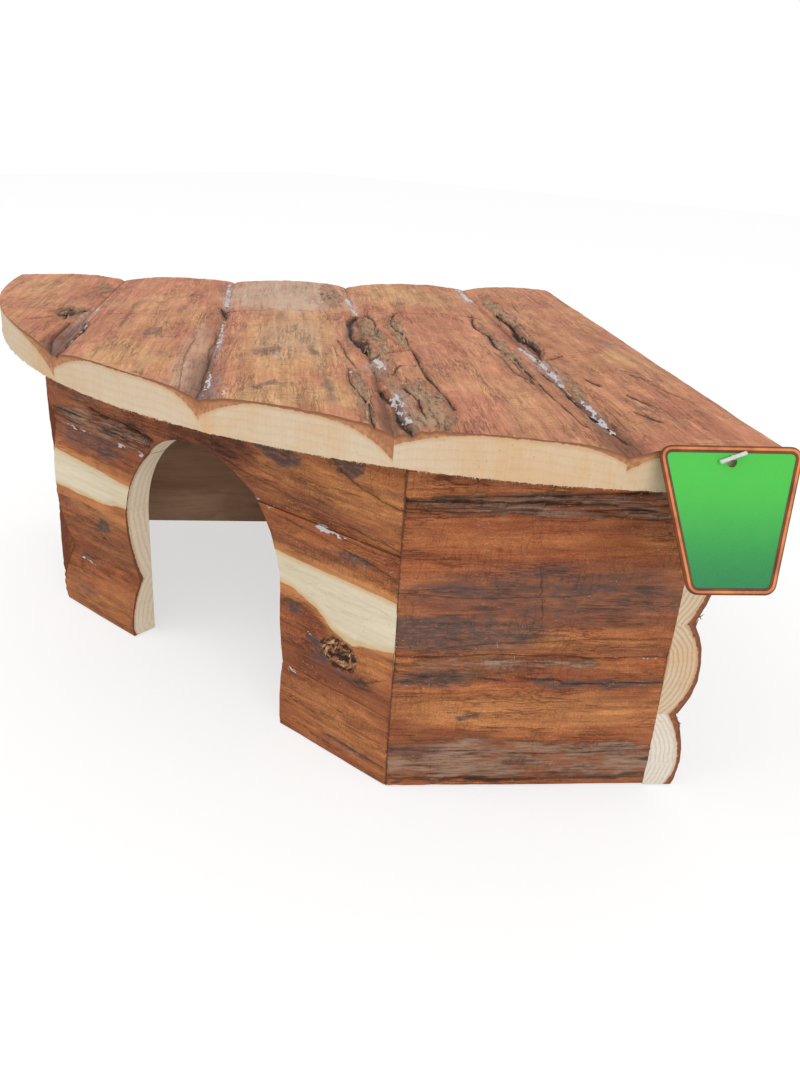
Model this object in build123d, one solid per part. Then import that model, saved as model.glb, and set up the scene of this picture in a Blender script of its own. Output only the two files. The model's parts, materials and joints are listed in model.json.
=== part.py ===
from build123d import *
from collections import namedtuple
from math import cos, radians, sin, sqrt, tan
import os

# Plan: a square that stands in a corner of the cage, with its front corner cut off at 45 degrees
SIDE = 250.0                 # outer length of each of the two back walls
CUT = 143.0                  # length that the doorway wall takes off each front side of the square

# Walls: slabs laid on edge, flat sawn face inside and rounded bark face outside
WALL_HEIGHT = 124.0
WALL_SLAB = 12.0             # thickness at the crown
MITRE_ANGLE = 22.5           # degrees, half of the turn from the doorway wall to a short wall

# Doorway: straight jambs under a half circle
DOOR_WIDTH = 94.0
DOOR_HEIGHT = 104.0

# Roof: slabs laid flat, sawn face down, with the front sawn to one arc
PLANK_CROWN = 13.5           # thickness of a roof slab at its crown
ROOF_RADIUS = 268.0
ROOF_OVERHANG = 31.0         # how far the arc stands out in front of the doorway wall
ROOF_SKEW = 8.0              # how far left of the middle the arc is centred

# Wood glue squeezed out of the seams
BEAD_RADIUS = 1.5
BEAD_DEPTH = 0.1             # the bead's centre stands this far out of the bottom of the groove
BEAD_GAP = 0.05              # between the glue and the wood

# Hang tag: a card with four rounded corners and one punched hole
TAG_TOP_WIDTH = 43.0
TAG_BOTTOM_WIDTH = 25.0
TAG_HEIGHT = 42.0
TAG_THICKNESS = 0.6
TAG_CORNER = 3.5
TAG_HOLE = 3.2               # diameter
TAG_HOLE_DROP = 4.5          # hole centre below the top edge
TAG_TILT = 25.0              # the card leans back over the roof's rim by this many degrees
TAG_GAP = 0.4                # clearance between the card and the rim, and between the card and the bar

# Tag pin: a nylon thread with a cross bar, stuck into the rim of the last roof slab
PIN_THREAD = 0.8             # diameter
PIN_BAR = 1.2                # diameter
PIN_BAR_LENGTH = 8.2
PIN_BAR_TURN = 20.0          # degrees that the bar slants up to the right
PIN_FROM_EDGE = 18.8         # distance from the roof's right edge
PIN_BELOW_CROWN = 2.3
PIN_DEPTH = 9.0
PIN_CLEARANCE = 0.1          # around the thread, in its hole in the wood

# One slab: its width as a share of the wall's height, or of the square's side in the roof, then where
# across that width the crown lies, and how much of the crown's thickness each long edge has lost
Slab = namedtuple("Slab", "name width crown_at first_wane last_wane")
REST = None                  # the top board of a wall takes the height that is left

# The groove over the doorway wall's lowest joint is deep on the left of the doorway only
DOORWAY_TOP = Slab("doorway_top_board", REST, 0.45, 0.20, 0.12)
DOORWAY_LEFT_BOARDS = (
    Slab("doorway_foot", 0.222, 0.15, 0.05, 0.50),
    Slab("doorway_middle", 0.504, 0.55, 0.46, 0.20),
    DOORWAY_TOP,
)
DOORWAY_RIGHT_BOARDS = (
    Slab("doorway_foot", 0.222, 0.30, 0.05, 0.12),
    Slab("doorway_middle", 0.504, 0.50, 0.14, 0.12),
    DOORWAY_TOP,
)
RIGHT_SHORT_BOARDS = (
    Slab("right_short_wall_lower", 0.431, 0.40, 0.06, 0.10),
    Slab("right_short_wall_middle", 0.468, 0.50, 0.10, 0.09),
    Slab("right_short_wall_top_strip", REST, 0.50, 0.10, 0.08),
)
LEFT_SHORT_BOARDS = (
    Slab("left_short_wall_lower", 0.492, 0.45, 0.08, 0.12),
    Slab("left_short_wall_upper", REST, 0.55, 0.12, 0.08),
)
RIGHT_BACK_BOARDS = (
    Slab("right_back_wall_lower", 0.250, 0.30, 0.12, 0.46),
    Slab("right_back_wall_middle", 0.290, 0.50, 0.42, 0.42),
    Slab("right_back_wall_upper", REST, 0.50, 0.46, 0.29),
)
LEFT_BACK_BOARDS = (
    Slab("left_back_wall_lower", 0.355, 0.40, 0.25, 0.42),
    Slab("left_back_wall_middle", 0.339, 0.50, 0.42, 0.42),
    Slab("left_back_wall_upper", REST, 0.50, 0.42, 0.25),
)
ROOF_SLABS = (
    Slab("roof_plank_1", 0.264, 0.60, 0.12, 0.14),
    Slab("roof_plank_2", 0.236, 0.50, 0.15, 0.12),
    Slab("roof_plank_3", 0.240, 0.45, 0.12, 0.16),
    Slab("roof_plank_4", 0.260, 0.50, 0.17, 0.14),
    Slab("roof_plank_5", 0.188, 0.60, 0.15, 0.10),
)

# Where glue shows in the doorway wall: which joint, counted from the ground, which side of the doorway,
# left being -1, and where the bead starts and ends between the opening, 0, and the corner, 1
DOORWAY_BEADS = ((1, -1, 0.03, 0.35), (1, 1, 0.10, 0.29), (1, 1, 0.50, 0.88), (0, 1, 0.10, 0.29))
ROOF_BEADS = (0.10, 0.16, 0.14, 0.21)    # length in each roof seam as a share of the side, from the rim

STANDING = (Align.CENTER, Align.CENTER, Align.MIN)       # a round body on its end

half_door_wall = CUT / sqrt(2)
depth_behind_door = (SIDE - CUT / 2) * sqrt(2)
door_y = ROOF_OVERHANG - (depth_behind_door + ROOF_OVERHANG) / 2
short_wall = SIDE - CUT
mitre = WALL_SLAB * tan(radians(MITRE_ANGLE))
door_radius = DOOR_WIDTH / 2
door_spring = DOOR_HEIGHT - door_radius

along = {"door": Vector(1, 0), "right": Vector(1, 1) / sqrt(2), "back": Vector(-1, 1) / sqrt(2)}
corner_a = Vector(-half_door_wall, door_y)
corner_b = Vector(half_door_wall, door_y)
corner_r = corner_b + along["right"] * short_wall
corner_k = corner_r + along["back"] * SIDE
corner_l = corner_k - along["right"] * SIDE


def wall_frame(corner, heading):
    """Frame of a wall: X along it, Y from the bark side to the inside, Z up."""
    return Plane(origin=corner, x_dir=heading, z_dir=(0, 0, 1))


door_frame = wall_frame(corner_a, along["door"])
right_short_frame = wall_frame(corner_b, along["right"])
right_back_frame = wall_frame(corner_r, along["back"])
left_back_frame = wall_frame(corner_k, along["right"] * -1)
left_short_frame = wall_frame(corner_l, along["back"] * -1)
roof_frame = wall_frame(corner_r, along["right"])


def slab_profile(start, width, crown, slab):
    """End of a slab that starts at X: sawn side on the X axis, bark side as two arcs level at the crown."""
    first = (start, crown * (1 - slab.first_wane))
    top = (start + width * slab.crown_at, crown)
    last = (start + width, crown * (1 - slab.last_wane))
    sawn = Polyline(first, (start, 0), (start + width, 0), last)
    bark = [TangentArc(top, first, tangent=(-1, 0)), TangentArc(top, last, tangent=(1, 0))]
    return make_face([*sawn.edges(), *bark])


def wall_profiles(boards):
    """Profiles of a wall's boards from the ground up; the top one takes the height that is left."""
    profiles = {}
    bottom = 0.0
    for board in boards:
        height = WALL_HEIGHT - bottom if board.width is REST else WALL_HEIGHT * board.width
        profiles[board.name] = slab_profile(bottom, height, WALL_SLAB, board)
        bottom += height
    return profiles


def wall_end(x):
    """Plane across a wall at x: its X runs up the wall and its Y from the sawn face to the bark."""
    return Plane(origin=(x, WALL_SLAB, 0), x_dir=(0, 0, 1), z_dir=(1, 0, 0))


def wall(boards, outer, inner):
    """Boards of one wall in its own frame. outer and inner are the two ends of its bark and sawn faces."""
    corners = ((outer[0], 0), (outer[1], 0), (inner[1], WALL_SLAB), (inner[0], WALL_SLAB))
    plan = extrude(make_face(Polyline(*corners, close=True)), WALL_HEIGHT)
    length = outer[1] - outer[0]
    return {
        name: extrude(wall_end(outer[0]) * profile, length) & plan
        for name, profile in wall_profiles(boards).items()
    }


def doorway():
    """The doorway's space in the frame of its wall, through the slabs and down past the ground."""
    below = WALL_SLAB
    jambs = Pos(0, (door_spring - below) / 2) * Rectangle(DOOR_WIDTH, door_spring + below)
    opening = Pos(0, door_spring) * Circle(door_radius) + jambs
    return Pos(half_door_wall, 0, 0) * extrude(Plane.XZ * opening, WALL_SLAB, both=True)


def half_opening(z):
    """Half the doorway's width at a height z below its top."""
    rise = max(z - door_spring, 0.0)
    return sqrt(door_radius**2 - rise**2)


def doorway_boards(boards):
    """The doorway wall's boards, each cut by the doorway into its pieces from left to right."""
    length = 2 * half_door_wall
    space = doorway()
    return {
        name: (board - space).solids().sort_by(Axis.X)
        for name, board in wall(boards, (0, length), (mitre, length - mitre)).items()
    }


def doorway_wall():
    """Top board with its shallow arch, and the lower boards in two pieces each."""
    left, right = doorway_boards(DOORWAY_LEFT_BOARDS), doorway_boards(DOORWAY_RIGHT_BOARDS)
    solids = {DOORWAY_TOP.name: left[DOORWAY_TOP.name][0]}
    for board in DOORWAY_LEFT_BOARDS[:-1]:
        solids[board.name + "_left"] = left[board.name][0]
        solids[board.name + "_right"] = right[board.name][-1]
    return solids


def arc_centre():
    """Centre of the roof's front arc in the roof's frame."""
    centre = Vector(-ROOF_SKEW, door_y - ROOF_OVERHANG + ROOF_RADIUS)
    return roof_frame.to_local_coords(centre)


def rim_y(x):
    """Where the roof's front rim lies at x, in the roof's frame."""
    centre = arc_centre()
    return centre.Y - sqrt(ROOF_RADIUS**2 - (x - centre.X) ** 2)


def plank_edges():
    """The five slabs' left and right edges in the roof's frame, where the right wall's outside is zero."""
    edges = []
    right = 0.0
    for slab in reversed(ROOF_SLABS):
        left = right - SIDE * slab.width
        edges.insert(0, (left, right))
        right = left
    return edges


def roof_profiles():
    """Profiles of the five slabs side by side, sawn faces on the tops of the walls."""
    return [
        slab_profile(left, right - left, PLANK_CROWN, slab)
        for (left, right), slab in zip(plank_edges(), ROOF_SLABS)
    ]


def roof_end(y):
    """Plane across the roof at y: its X runs to the right and its Y up, and it faces the front."""
    return Plane(origin=(0, y, WALL_HEIGHT), x_dir=(1, 0, 0), z_dir=(0, -1, 0))


def roof():
    """Five slabs side by side from the back edge forward, inside the arc."""
    centre = arc_centre()
    disc = Pos(centre.X, centre.Y, WALL_HEIGHT) * Cylinder(ROOF_RADIUS, PLANK_CROWN, align=STANDING)
    return {
        slab.name: extrude(roof_end(SIDE) * profile, 2 * ROOF_RADIUS) & disc
        for slab, profile in zip(ROOF_SLABS, roof_profiles())
    }


def rod(start, end, radius):
    """Round rod from one point to another."""
    axis = Vector(*end) - Vector(*start)
    return Plane(origin=start, z_dir=axis) * Cylinder(radius, axis.length, align=STANDING)


def bead_profile(seam, wane, crown, profiles):
    """Section of the glue in the groove over a seam: a circle, less the wood that it lies against."""
    section = Pos(seam, crown * (1 - wane) + BEAD_DEPTH) * Circle(BEAD_RADIUS)
    for profile in profiles:
        section -= offset(profile, BEAD_GAP)
    return section.face()


def doorway_glue():
    """Beads in the doorway wall's two joints, in the frame of that wall."""
    beads = []
    for joint, side, first, last in DOORWAY_BEADS:
        boards = DOORWAY_LEFT_BOARDS if side < 0 else DOORWAY_RIGHT_BOARDS
        seam = WALL_HEIGHT * sum(board.width for board in boards[: joint + 1])
        profiles = wall_profiles(boards).values()
        section = bead_profile(seam, boards[joint].last_wane, WALL_SLAB, profiles)
        run = half_door_wall - mitre - half_opening(seam)
        ends = [half_door_wall + side * (half_opening(seam) + run * share) for share in (first, last)]
        beads.append(extrude(wall_end(min(ends)) * section, run * (last - first)))
    return beads


def roof_glue():
    """A bead in each roof seam, from just behind the front rim, in the roof's frame."""
    beads = []
    for (left, seam), slab, share in zip(plank_edges(), ROOF_SLABS, ROOF_BEADS):
        length = SIDE * share
        section = bead_profile(seam, slab.last_wane, PLANK_CROWN, roof_profiles())
        beads.append(extrude(roof_end(rim_y(seam) + BEAD_RADIUS + length) * section, length))
    return beads


def pin_frame():
    """Frame of the tag on its pin, in the roof's frame: X across the card, Y up it, Z out of its face."""
    x = -PIN_FROM_EDGE
    tilt = radians(TAG_TILT)
    back_to_rim = PIN_BELOW_CROWN * tan(tilt) + TAG_GAP / cos(tilt)
    z = WALL_HEIGHT + PLANK_CROWN - PIN_BELOW_CROWN
    return Plane(origin=(x, rim_y(x) - back_to_rim, z), x_dir=(1, 0, 0), z_dir=(0, -cos(tilt), sin(tilt)))


def hang_tag():
    """The card; its hole hangs on the thread by its upper edge."""
    slack = (TAG_HOLE - PIN_THREAD) / 2 - PIN_CLEARANCE
    top = TAG_HOLE_DROP - slack
    half_top, half_bottom = TAG_TOP_WIDTH / 2, TAG_BOTTOM_WIDTH / 2
    foot = top - TAG_HEIGHT
    corners = ((-half_bottom, foot), (half_bottom, foot), (half_top, top), (-half_top, top))
    outline = make_face(Polyline(*corners, close=True))
    card = fillet(outline.vertices(), TAG_CORNER) - Pos(0, -slack) * Circle(TAG_HOLE / 2)
    return extrude(card, TAG_THICKNESS)


def tag_pin():
    """Thread through the card with its cross bar in front."""
    bar_z = TAG_THICKNESS + TAG_GAP + PIN_BAR / 2
    reach = Vector(cos(radians(PIN_BAR_TURN)), sin(radians(PIN_BAR_TURN))) * (PIN_BAR_LENGTH / 2)
    bar = rod((-reach.X, -reach.Y, bar_z), (reach.X, reach.Y, bar_z), PIN_BAR / 2)
    return bar + rod((0, 0, -PIN_DEPTH), (0, 0, bar_z), PIN_THREAD / 2)


def tag_pin_hole():
    """The hole in the wood that the thread is stuck into; its bottom carries the thread's end."""
    return rod((0, 0, -PIN_DEPTH), (0, 0, 0), PIN_THREAD / 2 + PIN_CLEARANCE)


nodes = {}


def place(frame, solids):
    """Puts the solids of one group, made in its own frame, into the house."""
    for name, shape in solids.items():
        nodes[name] = frame.location * shape


door_boards = doorway_wall()
planks = roof()
pin_location = roof_frame.location * pin_frame().location
planks["roof_plank_5"] = planks["roof_plank_5"] - pin_frame().location * tag_pin_hole()

butt = short_wall - WALL_SLAB
place(door_frame, door_boards)
place(right_short_frame, wall(RIGHT_SHORT_BOARDS, (0, butt), (mitre, butt)))
place(right_back_frame, wall(RIGHT_BACK_BOARDS, (0, SIDE - WALL_SLAB), (0, SIDE - WALL_SLAB)))
place(left_back_frame, wall(LEFT_BACK_BOARDS, (0, SIDE), (0, SIDE)))
place(left_short_frame, wall(LEFT_SHORT_BOARDS, (WALL_SLAB, short_wall), (WALL_SLAB, short_wall - mitre)))
place(roof_frame, planks)

nodes["doorway_glue_beads"] = Compound(children=[door_frame.location * glue for glue in doorway_glue()])
nodes["roof_glue_beads"] = Compound(children=[roof_frame.location * glue for glue in roof_glue()])
nodes["hang_tag"] = pin_location * hang_tag()
nodes["tag_pin"] = pin_location * tag_pin()

os.makedirs("parts", exist_ok=True)
for name, shape in nodes.items():
    export_step(shape, f"parts/{name}.step")
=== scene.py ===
"""Corner house for small pets: bark slab walls and roof, dried glue, and a hang tag on its pin."""

import json
from collections import namedtuple
from math import atan2, cos, hypot, pi, radians, sin, sqrt, tan
from random import Random

import bmesh
import bpy
from bpy.props import FloatProperty, FloatVectorProperty, PointerProperty
from mathutils import Matrix, Vector, noise


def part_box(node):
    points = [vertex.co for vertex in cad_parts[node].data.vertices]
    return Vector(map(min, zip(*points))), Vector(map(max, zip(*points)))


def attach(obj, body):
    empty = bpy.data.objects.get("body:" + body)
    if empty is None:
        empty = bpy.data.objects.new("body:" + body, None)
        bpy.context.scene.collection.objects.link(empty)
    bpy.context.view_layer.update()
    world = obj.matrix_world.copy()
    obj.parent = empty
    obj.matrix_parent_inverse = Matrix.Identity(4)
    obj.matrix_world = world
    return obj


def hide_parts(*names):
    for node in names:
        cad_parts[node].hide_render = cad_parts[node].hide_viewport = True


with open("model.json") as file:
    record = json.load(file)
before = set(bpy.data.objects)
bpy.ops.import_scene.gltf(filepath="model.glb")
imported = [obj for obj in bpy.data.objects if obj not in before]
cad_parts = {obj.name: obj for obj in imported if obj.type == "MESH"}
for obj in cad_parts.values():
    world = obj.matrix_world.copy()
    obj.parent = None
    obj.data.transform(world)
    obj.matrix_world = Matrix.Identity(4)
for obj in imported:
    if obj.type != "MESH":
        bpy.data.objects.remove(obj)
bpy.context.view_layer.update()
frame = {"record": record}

bl_info = {
    "name": "Corner Rodent House",
    "version": (1, 0, 0),
    "blender": (4, 5, 0),
    "location": "View3D > Sidebar > Rodent House",
    "description": "Builds the bark slabs, glue and hang tag of a corner house over its CAD frame",
    "category": "Object",
}

HOUSE = "house"
TAG = "tag"
MM = 0.001


# Sizes and colours that a user would change

def figure(name, description, default, **more):
    return FloatProperty(name=name, description=description, default=default, **more)


def length(name, description, default):
    return figure(name, description, default, unit="LENGTH", precision=5)


def colour(name, description, *default):
    return FloatVectorProperty(
        name=name, description=description, default=default, subtype="COLOR", size=3, min=0, max=1
    )


class HouseSizes(bpy.types.PropertyGroup):
    side: length("Side", "Outer length of each back wall", 0.250)
    cut: length("Cut", "What the doorway wall takes off each front side of the square", 0.143)
    wall_slab: length("Wall slab", "Thickness of a wall board at its crown", 0.012)
    door_width: length("Doorway width", "Between the jambs", 0.094)
    door_height: length("Doorway height", "Floor to the top of the arch", 0.104)
    roof_crown: length("Roof slab", "Thickness of a roof slab at its crown", 0.0135)
    roof_radius: length("Roof radius", "Radius of the arc that the roof's front is sawn to", 0.268)
    roof_overhang: length("Overhang", "How far the arc stands out in front of the doorway", 0.031)
    roof_skew: length("Skew", "How far left of the middle the arc is centred", 0.008)
    step: length("Mesh step", "Distance between vertices on the bark", 0.00125)
    relief: figure("Relief", "Height of the bark's relief", 1.0, min=0, max=3)


class WoodColours(bpy.types.PropertyGroup):
    roof_bark: colour("Roof bark", "Salmon inner bark of the roof", 0.575, 0.235, 0.135)
    roof_ochre: colour("Roof ochre", "Ochre patches of the roof", 0.610, 0.340, 0.165)
    roof_streak: colour("Roof streaks", "Darker fibres of the roof", 0.345, 0.105, 0.050)
    wall_bark: colour("Wall bark", "Red brown bark of the walls", 0.332, 0.100, 0.037)
    wall_ochre: colour("Wall ochre", "Orange brown patches of the walls", 0.495, 0.203, 0.073)
    wall_streak: colour("Wall streaks", "Dark fibres of the walls", 0.188, 0.060, 0.032)
    stain: colour("Stain", "Purple grey stains", 0.088, 0.056, 0.050)
    roof_flake: colour("Roof flakes", "Tan outer bark left on the roof", 0.450, 0.315, 0.195)
    wall_flake: colour("Wall flakes", "Grey brown outer bark left on the walls", 0.400, 0.260, 0.180)
    flake_dark: colour("Flakes, dark", "Weathered side of the outer bark", 0.120, 0.062, 0.042)
    # Painted shade: the near black that cracks, crevices, torn places and sunken bark are painted with
    hollow: colour("Hollow shade", "Cracks and torn places", 0.030, 0.016, 0.011)
    bare: colour("Bare wood", "Wood where the bark has come off", 0.700, 0.620, 0.465)
    end_grain: colour("End grain", "Sawn ends of the slabs", 0.640, 0.515, 0.375)
    # Pale sawn wood, made lighter still to paint in the light that the shaded jambs lack
    clear: colour("Jambs with painted light", "Sawn edge of the doorway", 0.900, 0.775, 0.605)
    ring: colour("Rings", "Darker growth rings", 0.470, 0.255, 0.125)
    sawn: colour("Sawn face", "Flat inner faces", 0.740, 0.490, 0.330)
    film: colour("Glue film", "Thin glue smeared beside the seams", 0.500, 0.370, 0.355)
    glue: colour("Glue", "Dried wood glue", 0.640, 0.590, 0.600)


class TagLook(bpy.types.PropertyGroup):
    top_width: length("Top width", "Upper edge of the card", 0.043)
    bottom_width: length("Bottom width", "Lower edge of the card", 0.025)
    height: length("Height", "Card from edge to edge", 0.042)
    thickness: length("Thickness", "Card alone, without its border", 0.0006)
    corner: length("Corner", "Radius of the card's corners", 0.0035)
    border: length("Border", "Width of the raised border", 0.0018)
    hole: length("Hole", "Diameter of the punched hole", 0.0032)
    hole_drop: length("Hole drop", "Hole centre below the top edge", 0.0045)
    thread: length("Thread", "Diameter of the pin's thread", 0.0008)
    bar: length("Bar", "Diameter of the pin's cross bar", 0.0012)
    bar_length: length("Bar length", "Length of the cross bar", 0.0082)
    pin_depth: length("Pin depth", "How deep the thread sits behind the card", 0.009)
    bar_turn: figure("Bar turn", "Slant of the cross bar", radians(20), subtype="ANGLE")
    gap: length("Gap", "Between the card and the cross bar", 0.0004)
    green_top: colour("Green, top", "Card colour at the top", 0.050, 0.475, 0.045)
    green_bottom: colour("Green, bottom", "Card colour at the bottom", 0.005, 0.185, 0.050)
    copper: colour("Border", "Copper border", 0.430, 0.112, 0.030)
    inner_line: colour("Inner line", "Thin dark line inside the border", 0.030, 0.030, 0.010)
    nylon: colour("Nylon", "Pin and thread", 0.82, 0.82, 0.80)


class StudioLook(bpy.types.PropertyGroup):
    lens: figure("Lens", "Focal length in millimetres on a 36 mm side", 30.95)
    shift: figure("Shift", "Sideways shift of the camera's picture", 0.0469)
    sky: figure("Sky", "Strength of the even light", 0.86)
    key: figure("Key light", "Power of the lamp above the doorway in watts", 9.5)
    fill: figure("Fill light", "Power of the lamp at the right in watts", 8.2)
    white: figure("White", "How much of the floor is plain white to the camera", 0.6, min=0, max=1)
    floor: length("Floor", "Side of the square floor", 6.0)


# Where things are: walls and roof as flat frames

TO_RIGHT = Vector((1, 1, 0)) / sqrt(2)      # along the right short wall
TO_BACK = Vector((-1, 1, 0)) / sqrt(2)      # along the right back wall


class Place:
    """A flat frame: along, up or across, and out of the bark."""

    def __init__(self, origin, along, across, out):
        self.origin, self.along, self.across, self.out = origin, along, across, out

    def way(self, along, across, out):
        return self.along * along + self.across * across + self.out * out

    def point(self, along, across, out):
        return self.origin + self.along * along + self.across * across + self.out * out


def plan_corners(sizes):
    """Outer corners of the house on the ground: left and right of the doorway, right, back and left."""
    half = sizes.cut / sqrt(2)
    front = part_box("doorway_top_board")[0].y
    left, right = Vector((-half, front, 0)), Vector((half, front, 0))
    corner_right = right + TO_RIGHT * (sizes.side - sizes.cut)
    corner_back = corner_right + TO_BACK * sizes.side
    return left, right, corner_right, corner_back, corner_back - TO_RIGHT * sizes.side


def wall_place(start, end, slab):
    """Frame of a wall between two outer corners, with zero depth on its sawn face."""
    along = (end - start).normalized()
    out = Vector((along.y, -along.x, 0))
    return Place(start - out * slab, along, Vector((0, 0, 1)), out)


# What is on the bark. Marks and cracks are in millimetres along and across their wall, or the roof.

KINDS = ("stain", "ochre", "rough", "dark", "red", "pale", "film")
Mark = namedtuple("Mark", "kind along across long wide strength")
Crack = namedtuple("Crack", "points width depth")
GlueRun = namedtuple("GlueRun", "points size")


def marks(**kinds):
    """Marks of each kind, whose rows hold place, half length, half width and strength."""
    return tuple(Mark(kind, *row) for kind, rows in kinds.items() for row in rows)


def cracks(*rows):
    """Cracks, whose rows hold their points, width and depth."""
    return tuple(Crack(tuple(points), width, depth) for *points, width, depth in rows)


def glue_runs(*rows):
    """Lines of glue, whose rows hold their points and the size of the lumps."""
    return tuple(GlueRun(tuple(points), size) for *points, size in rows)


ROOF_MARKS = marks(
    stain=(
        (112, -197, 13, 4, 0.75), (160, -191, 10, 2.5, 0.6), (196, -190, 7, 2.5, 0.6),
        (84, -151, 10, 7, 0.6), (85, -134, 13, 3, 0.75), (35, -151, 5, 5, 0.75), (45, -195, 4, 3, 0.6),
        (32, -130, 20, 2, 0.6), (152, -147, 14, 3, 0.45), (112, -10, 11, 5, 0.5), (18, -29, 4, 3, 0.6),
        (172, -158, 6, 7, 0.35), (60, -176, 34, 2, 0.3), (120, -116, 34, 5, 0.5), (215, -75, 14, 6, 0.25),
    ),
    ochre=(
        (62, -203, 34, 15, 0.8), (105, -143, 60, 20, 0.8), (22, -140, 16, 22, 0.9), (86, -12, 14, 9, 0.8),
        (212, -82, 34, 26, 0.9), (205, -262, 34, 14, 0.5), (150, -200, 50, 16, 0.35),
    ),
    pale=(
        (212, -145, 52, 30, 1.0), (70, -178, 72, 7, 0.45), (112, -141, 40, 16, 0.35),
    ),
    red=(
        (90, -22, 150, 30, 0.30), (120, -48, 30, 4, 0.8), (150, -176, 60, 4, 0.7), (60, -170, 50, 4, 0.6),
        (40, -30, 60, 22, 0.35), (-18, -62, 14, 45, 0.3), (60, -114, 60, 4, 0.6), (110, -236, 40, 8, 0.5),
        (195, -52, 14, 4, 0.6),
    ),
    film=(
        (30, -169, 30, 4.5, 0.9), (92, -170, 40, 2.5, 0.8), (205, -173, 46, 3, 0.9),
        (126, -231, 56, 3.5, 0.8), (70, -111, 14, 5, 0.9), (18, -107, 26, 4, 0.9),
        (192, -112, 26, 3, 0.9), (226, -50.5, 30, 3.5, 0.9), (78, -47.5, 40, 3.5, 0.9),
        (14, -46, 22, 3.5, 0.9), (110, -10, 12, 6, 0.5), (75, -147, 5, 3, 0.9),
    ),
    rough=(
        (100, -108, 66, 6, 0.9), (128, -97, 40, 4, 0.7), (14, -101, 34, 9, 0.9), (100, -57, 66, 4, 0.7),
        (165, -41, 70, 4, 0.8), (212, -122, 40, 6, 0.7), (60, -46, 40, 5, 0.8), (30, -119, 40, 4, 0.6),
        (150, -239, 14, 8, 0.7), (212, -236, 30, 6, 0.5),
    ),
    dark=(
        (106, -113, 15, 4.5, 1.0), (150, -115, 12, 5, 0.8), (150, -240, 11, 6, 0.8),
        (120, -43, 30, 2.5, 0.8), (165, -171, 6, 3, 0.7), (160, -107, 6, 5, 0.6),
    ),
)
ROOF_CRACKS = cracks(
    ((136, -229), (118, -226), (95, -228), (72, -230), 1.36, 1.36),
    ((158, -233), (146, -240), (132, -251), 1.36, 0.85),
    ((132, -236), (105, -235), (80, -232), 0.85, 0.68),
    ((172, -174), (160, -172), (148, -171), 1.36, 1.02),
    ((120, -173), (66, -172), (40, -173), (10, -174), 0.45, 0.35),
    ((110, -181), (70, -180), (20, -179), 0.35, 0.22),
    ((62, -122), (45, -121), (22, -118), (-14, -118), 0.94, 0.77),
    ((108, -123), (84, -121), (66, -119), 0.77, 0.51),
    ((40, -112), (24, -109), (8, -109), (-12, -106), 1.7, 1.53),
    ((166, -112), (148, -116), (122, -117), (92, -112), 2.04, 1.7),
    ((168, -94), (140, -98), (118, -96), (90, -95), (52, -94), (30, -93), (12, -91), 1.1, 1.02),
    ((84, -110), (90, -104), (93, -96), 1.02, 0.68),
    ((60, -106), (70, -102), (68, -97), 0.77, 0.51),
    ((38, -104), (22, -101), (6, -102), 1.02, 0.85),
    ((168, -106), (150, -104), (132, -106), 1.02, 0.68),
    ((168, -57), (140, -60), (110, -59), (80, -57), (40, -56), (0, -53), 1.1, 0.94),
    ((88, -62), (60, -61), (44, -59), 0.68, 0.42),
    ((176, -43), (150, -42), (128, -43), (104, -42), (88, -45), 1.87, 1.53),
    ((87, -46), (86, -41), (90, -36), 1.02, 0.85),
    ((62, -50), (40, -49), (14, -46), (-12, -44), 1.36, 1.19),
    ((54, -36), (46, -34), 1.02, 0.68),
    ((32, -28), (20, -25), 1.1, 0.59),
    ((38, -15), (30, -12), 0.77, 0.42),
    ((60, -18), (52, -14), 0.68, 0.34),
    ((12, -33), (2, -30), 1.02, 0.42),
    ((200, -30), (178, -31), 0.68, 0.42),
    ((167, -171), (165, -160), (168, -146), (164, -132), (166, -120), 0.68, 0.42),
    ((165, -110), (169, -96), (165, -84), (167, -70), (164, -54), 0.85, 0.68),
)
DOORWAY_MARKS = marks(
    stain=(
        (30, 86, 34, 6, 0.5), (146, 112, 12, 5, 0.95), (177, 116, 8, 5, 0.95), (40, 84, 8, 3.5, 0.7),
        (179, 83, 8, 2.5, 0.7), (36, 49, 8, 3.2, 0.95), (156, 55, 7, 2.5, 0.8), (167, 43, 4.5, 6, 1.0),
        (183, 37, 9, 1.5, 0.9), (16, 10, 12, 5, 0.4), (186, 8, 13, 1.2, 0.8), (190, 38, 6, 1.2, 0.6),
    ),
    ochre=(
        (170, 108, 34, 9, 0.95), (128, 118, 12, 4, 0.5), (30, 55, 34, 3.5, 0.8), (153, 60, 8, 3, 0.8),
        (194, 46, 10, 8, 0.6), (28, 12, 34, 14, 0.35), (176, 16, 30, 12, 0.45), (176, 77, 34, 2, 0.9),
        (28, 78, 34, 1.6, 0.8),
    ),
    red=(
        (30, 38, 34, 9, 0.6), (166, 35, 18, 9, 0.5),
    ),
    rough=(
        (42, 97, 36, 5, 0.9), (36, 91, 34, 2.2, 0.9), (26, 110, 26, 8, 0.5), (8, 26, 22, 2, 0.5),
    ),
    dark=(
        (110, 108, 34, 9, 0.75), (62, 101, 8, 2.2, 0.8), (168, 95, 34, 4, 0.45), (92, 104, 20, 6, 0.5),
        (24, 48, 18, 3, 0.3),
    ),
)
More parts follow.
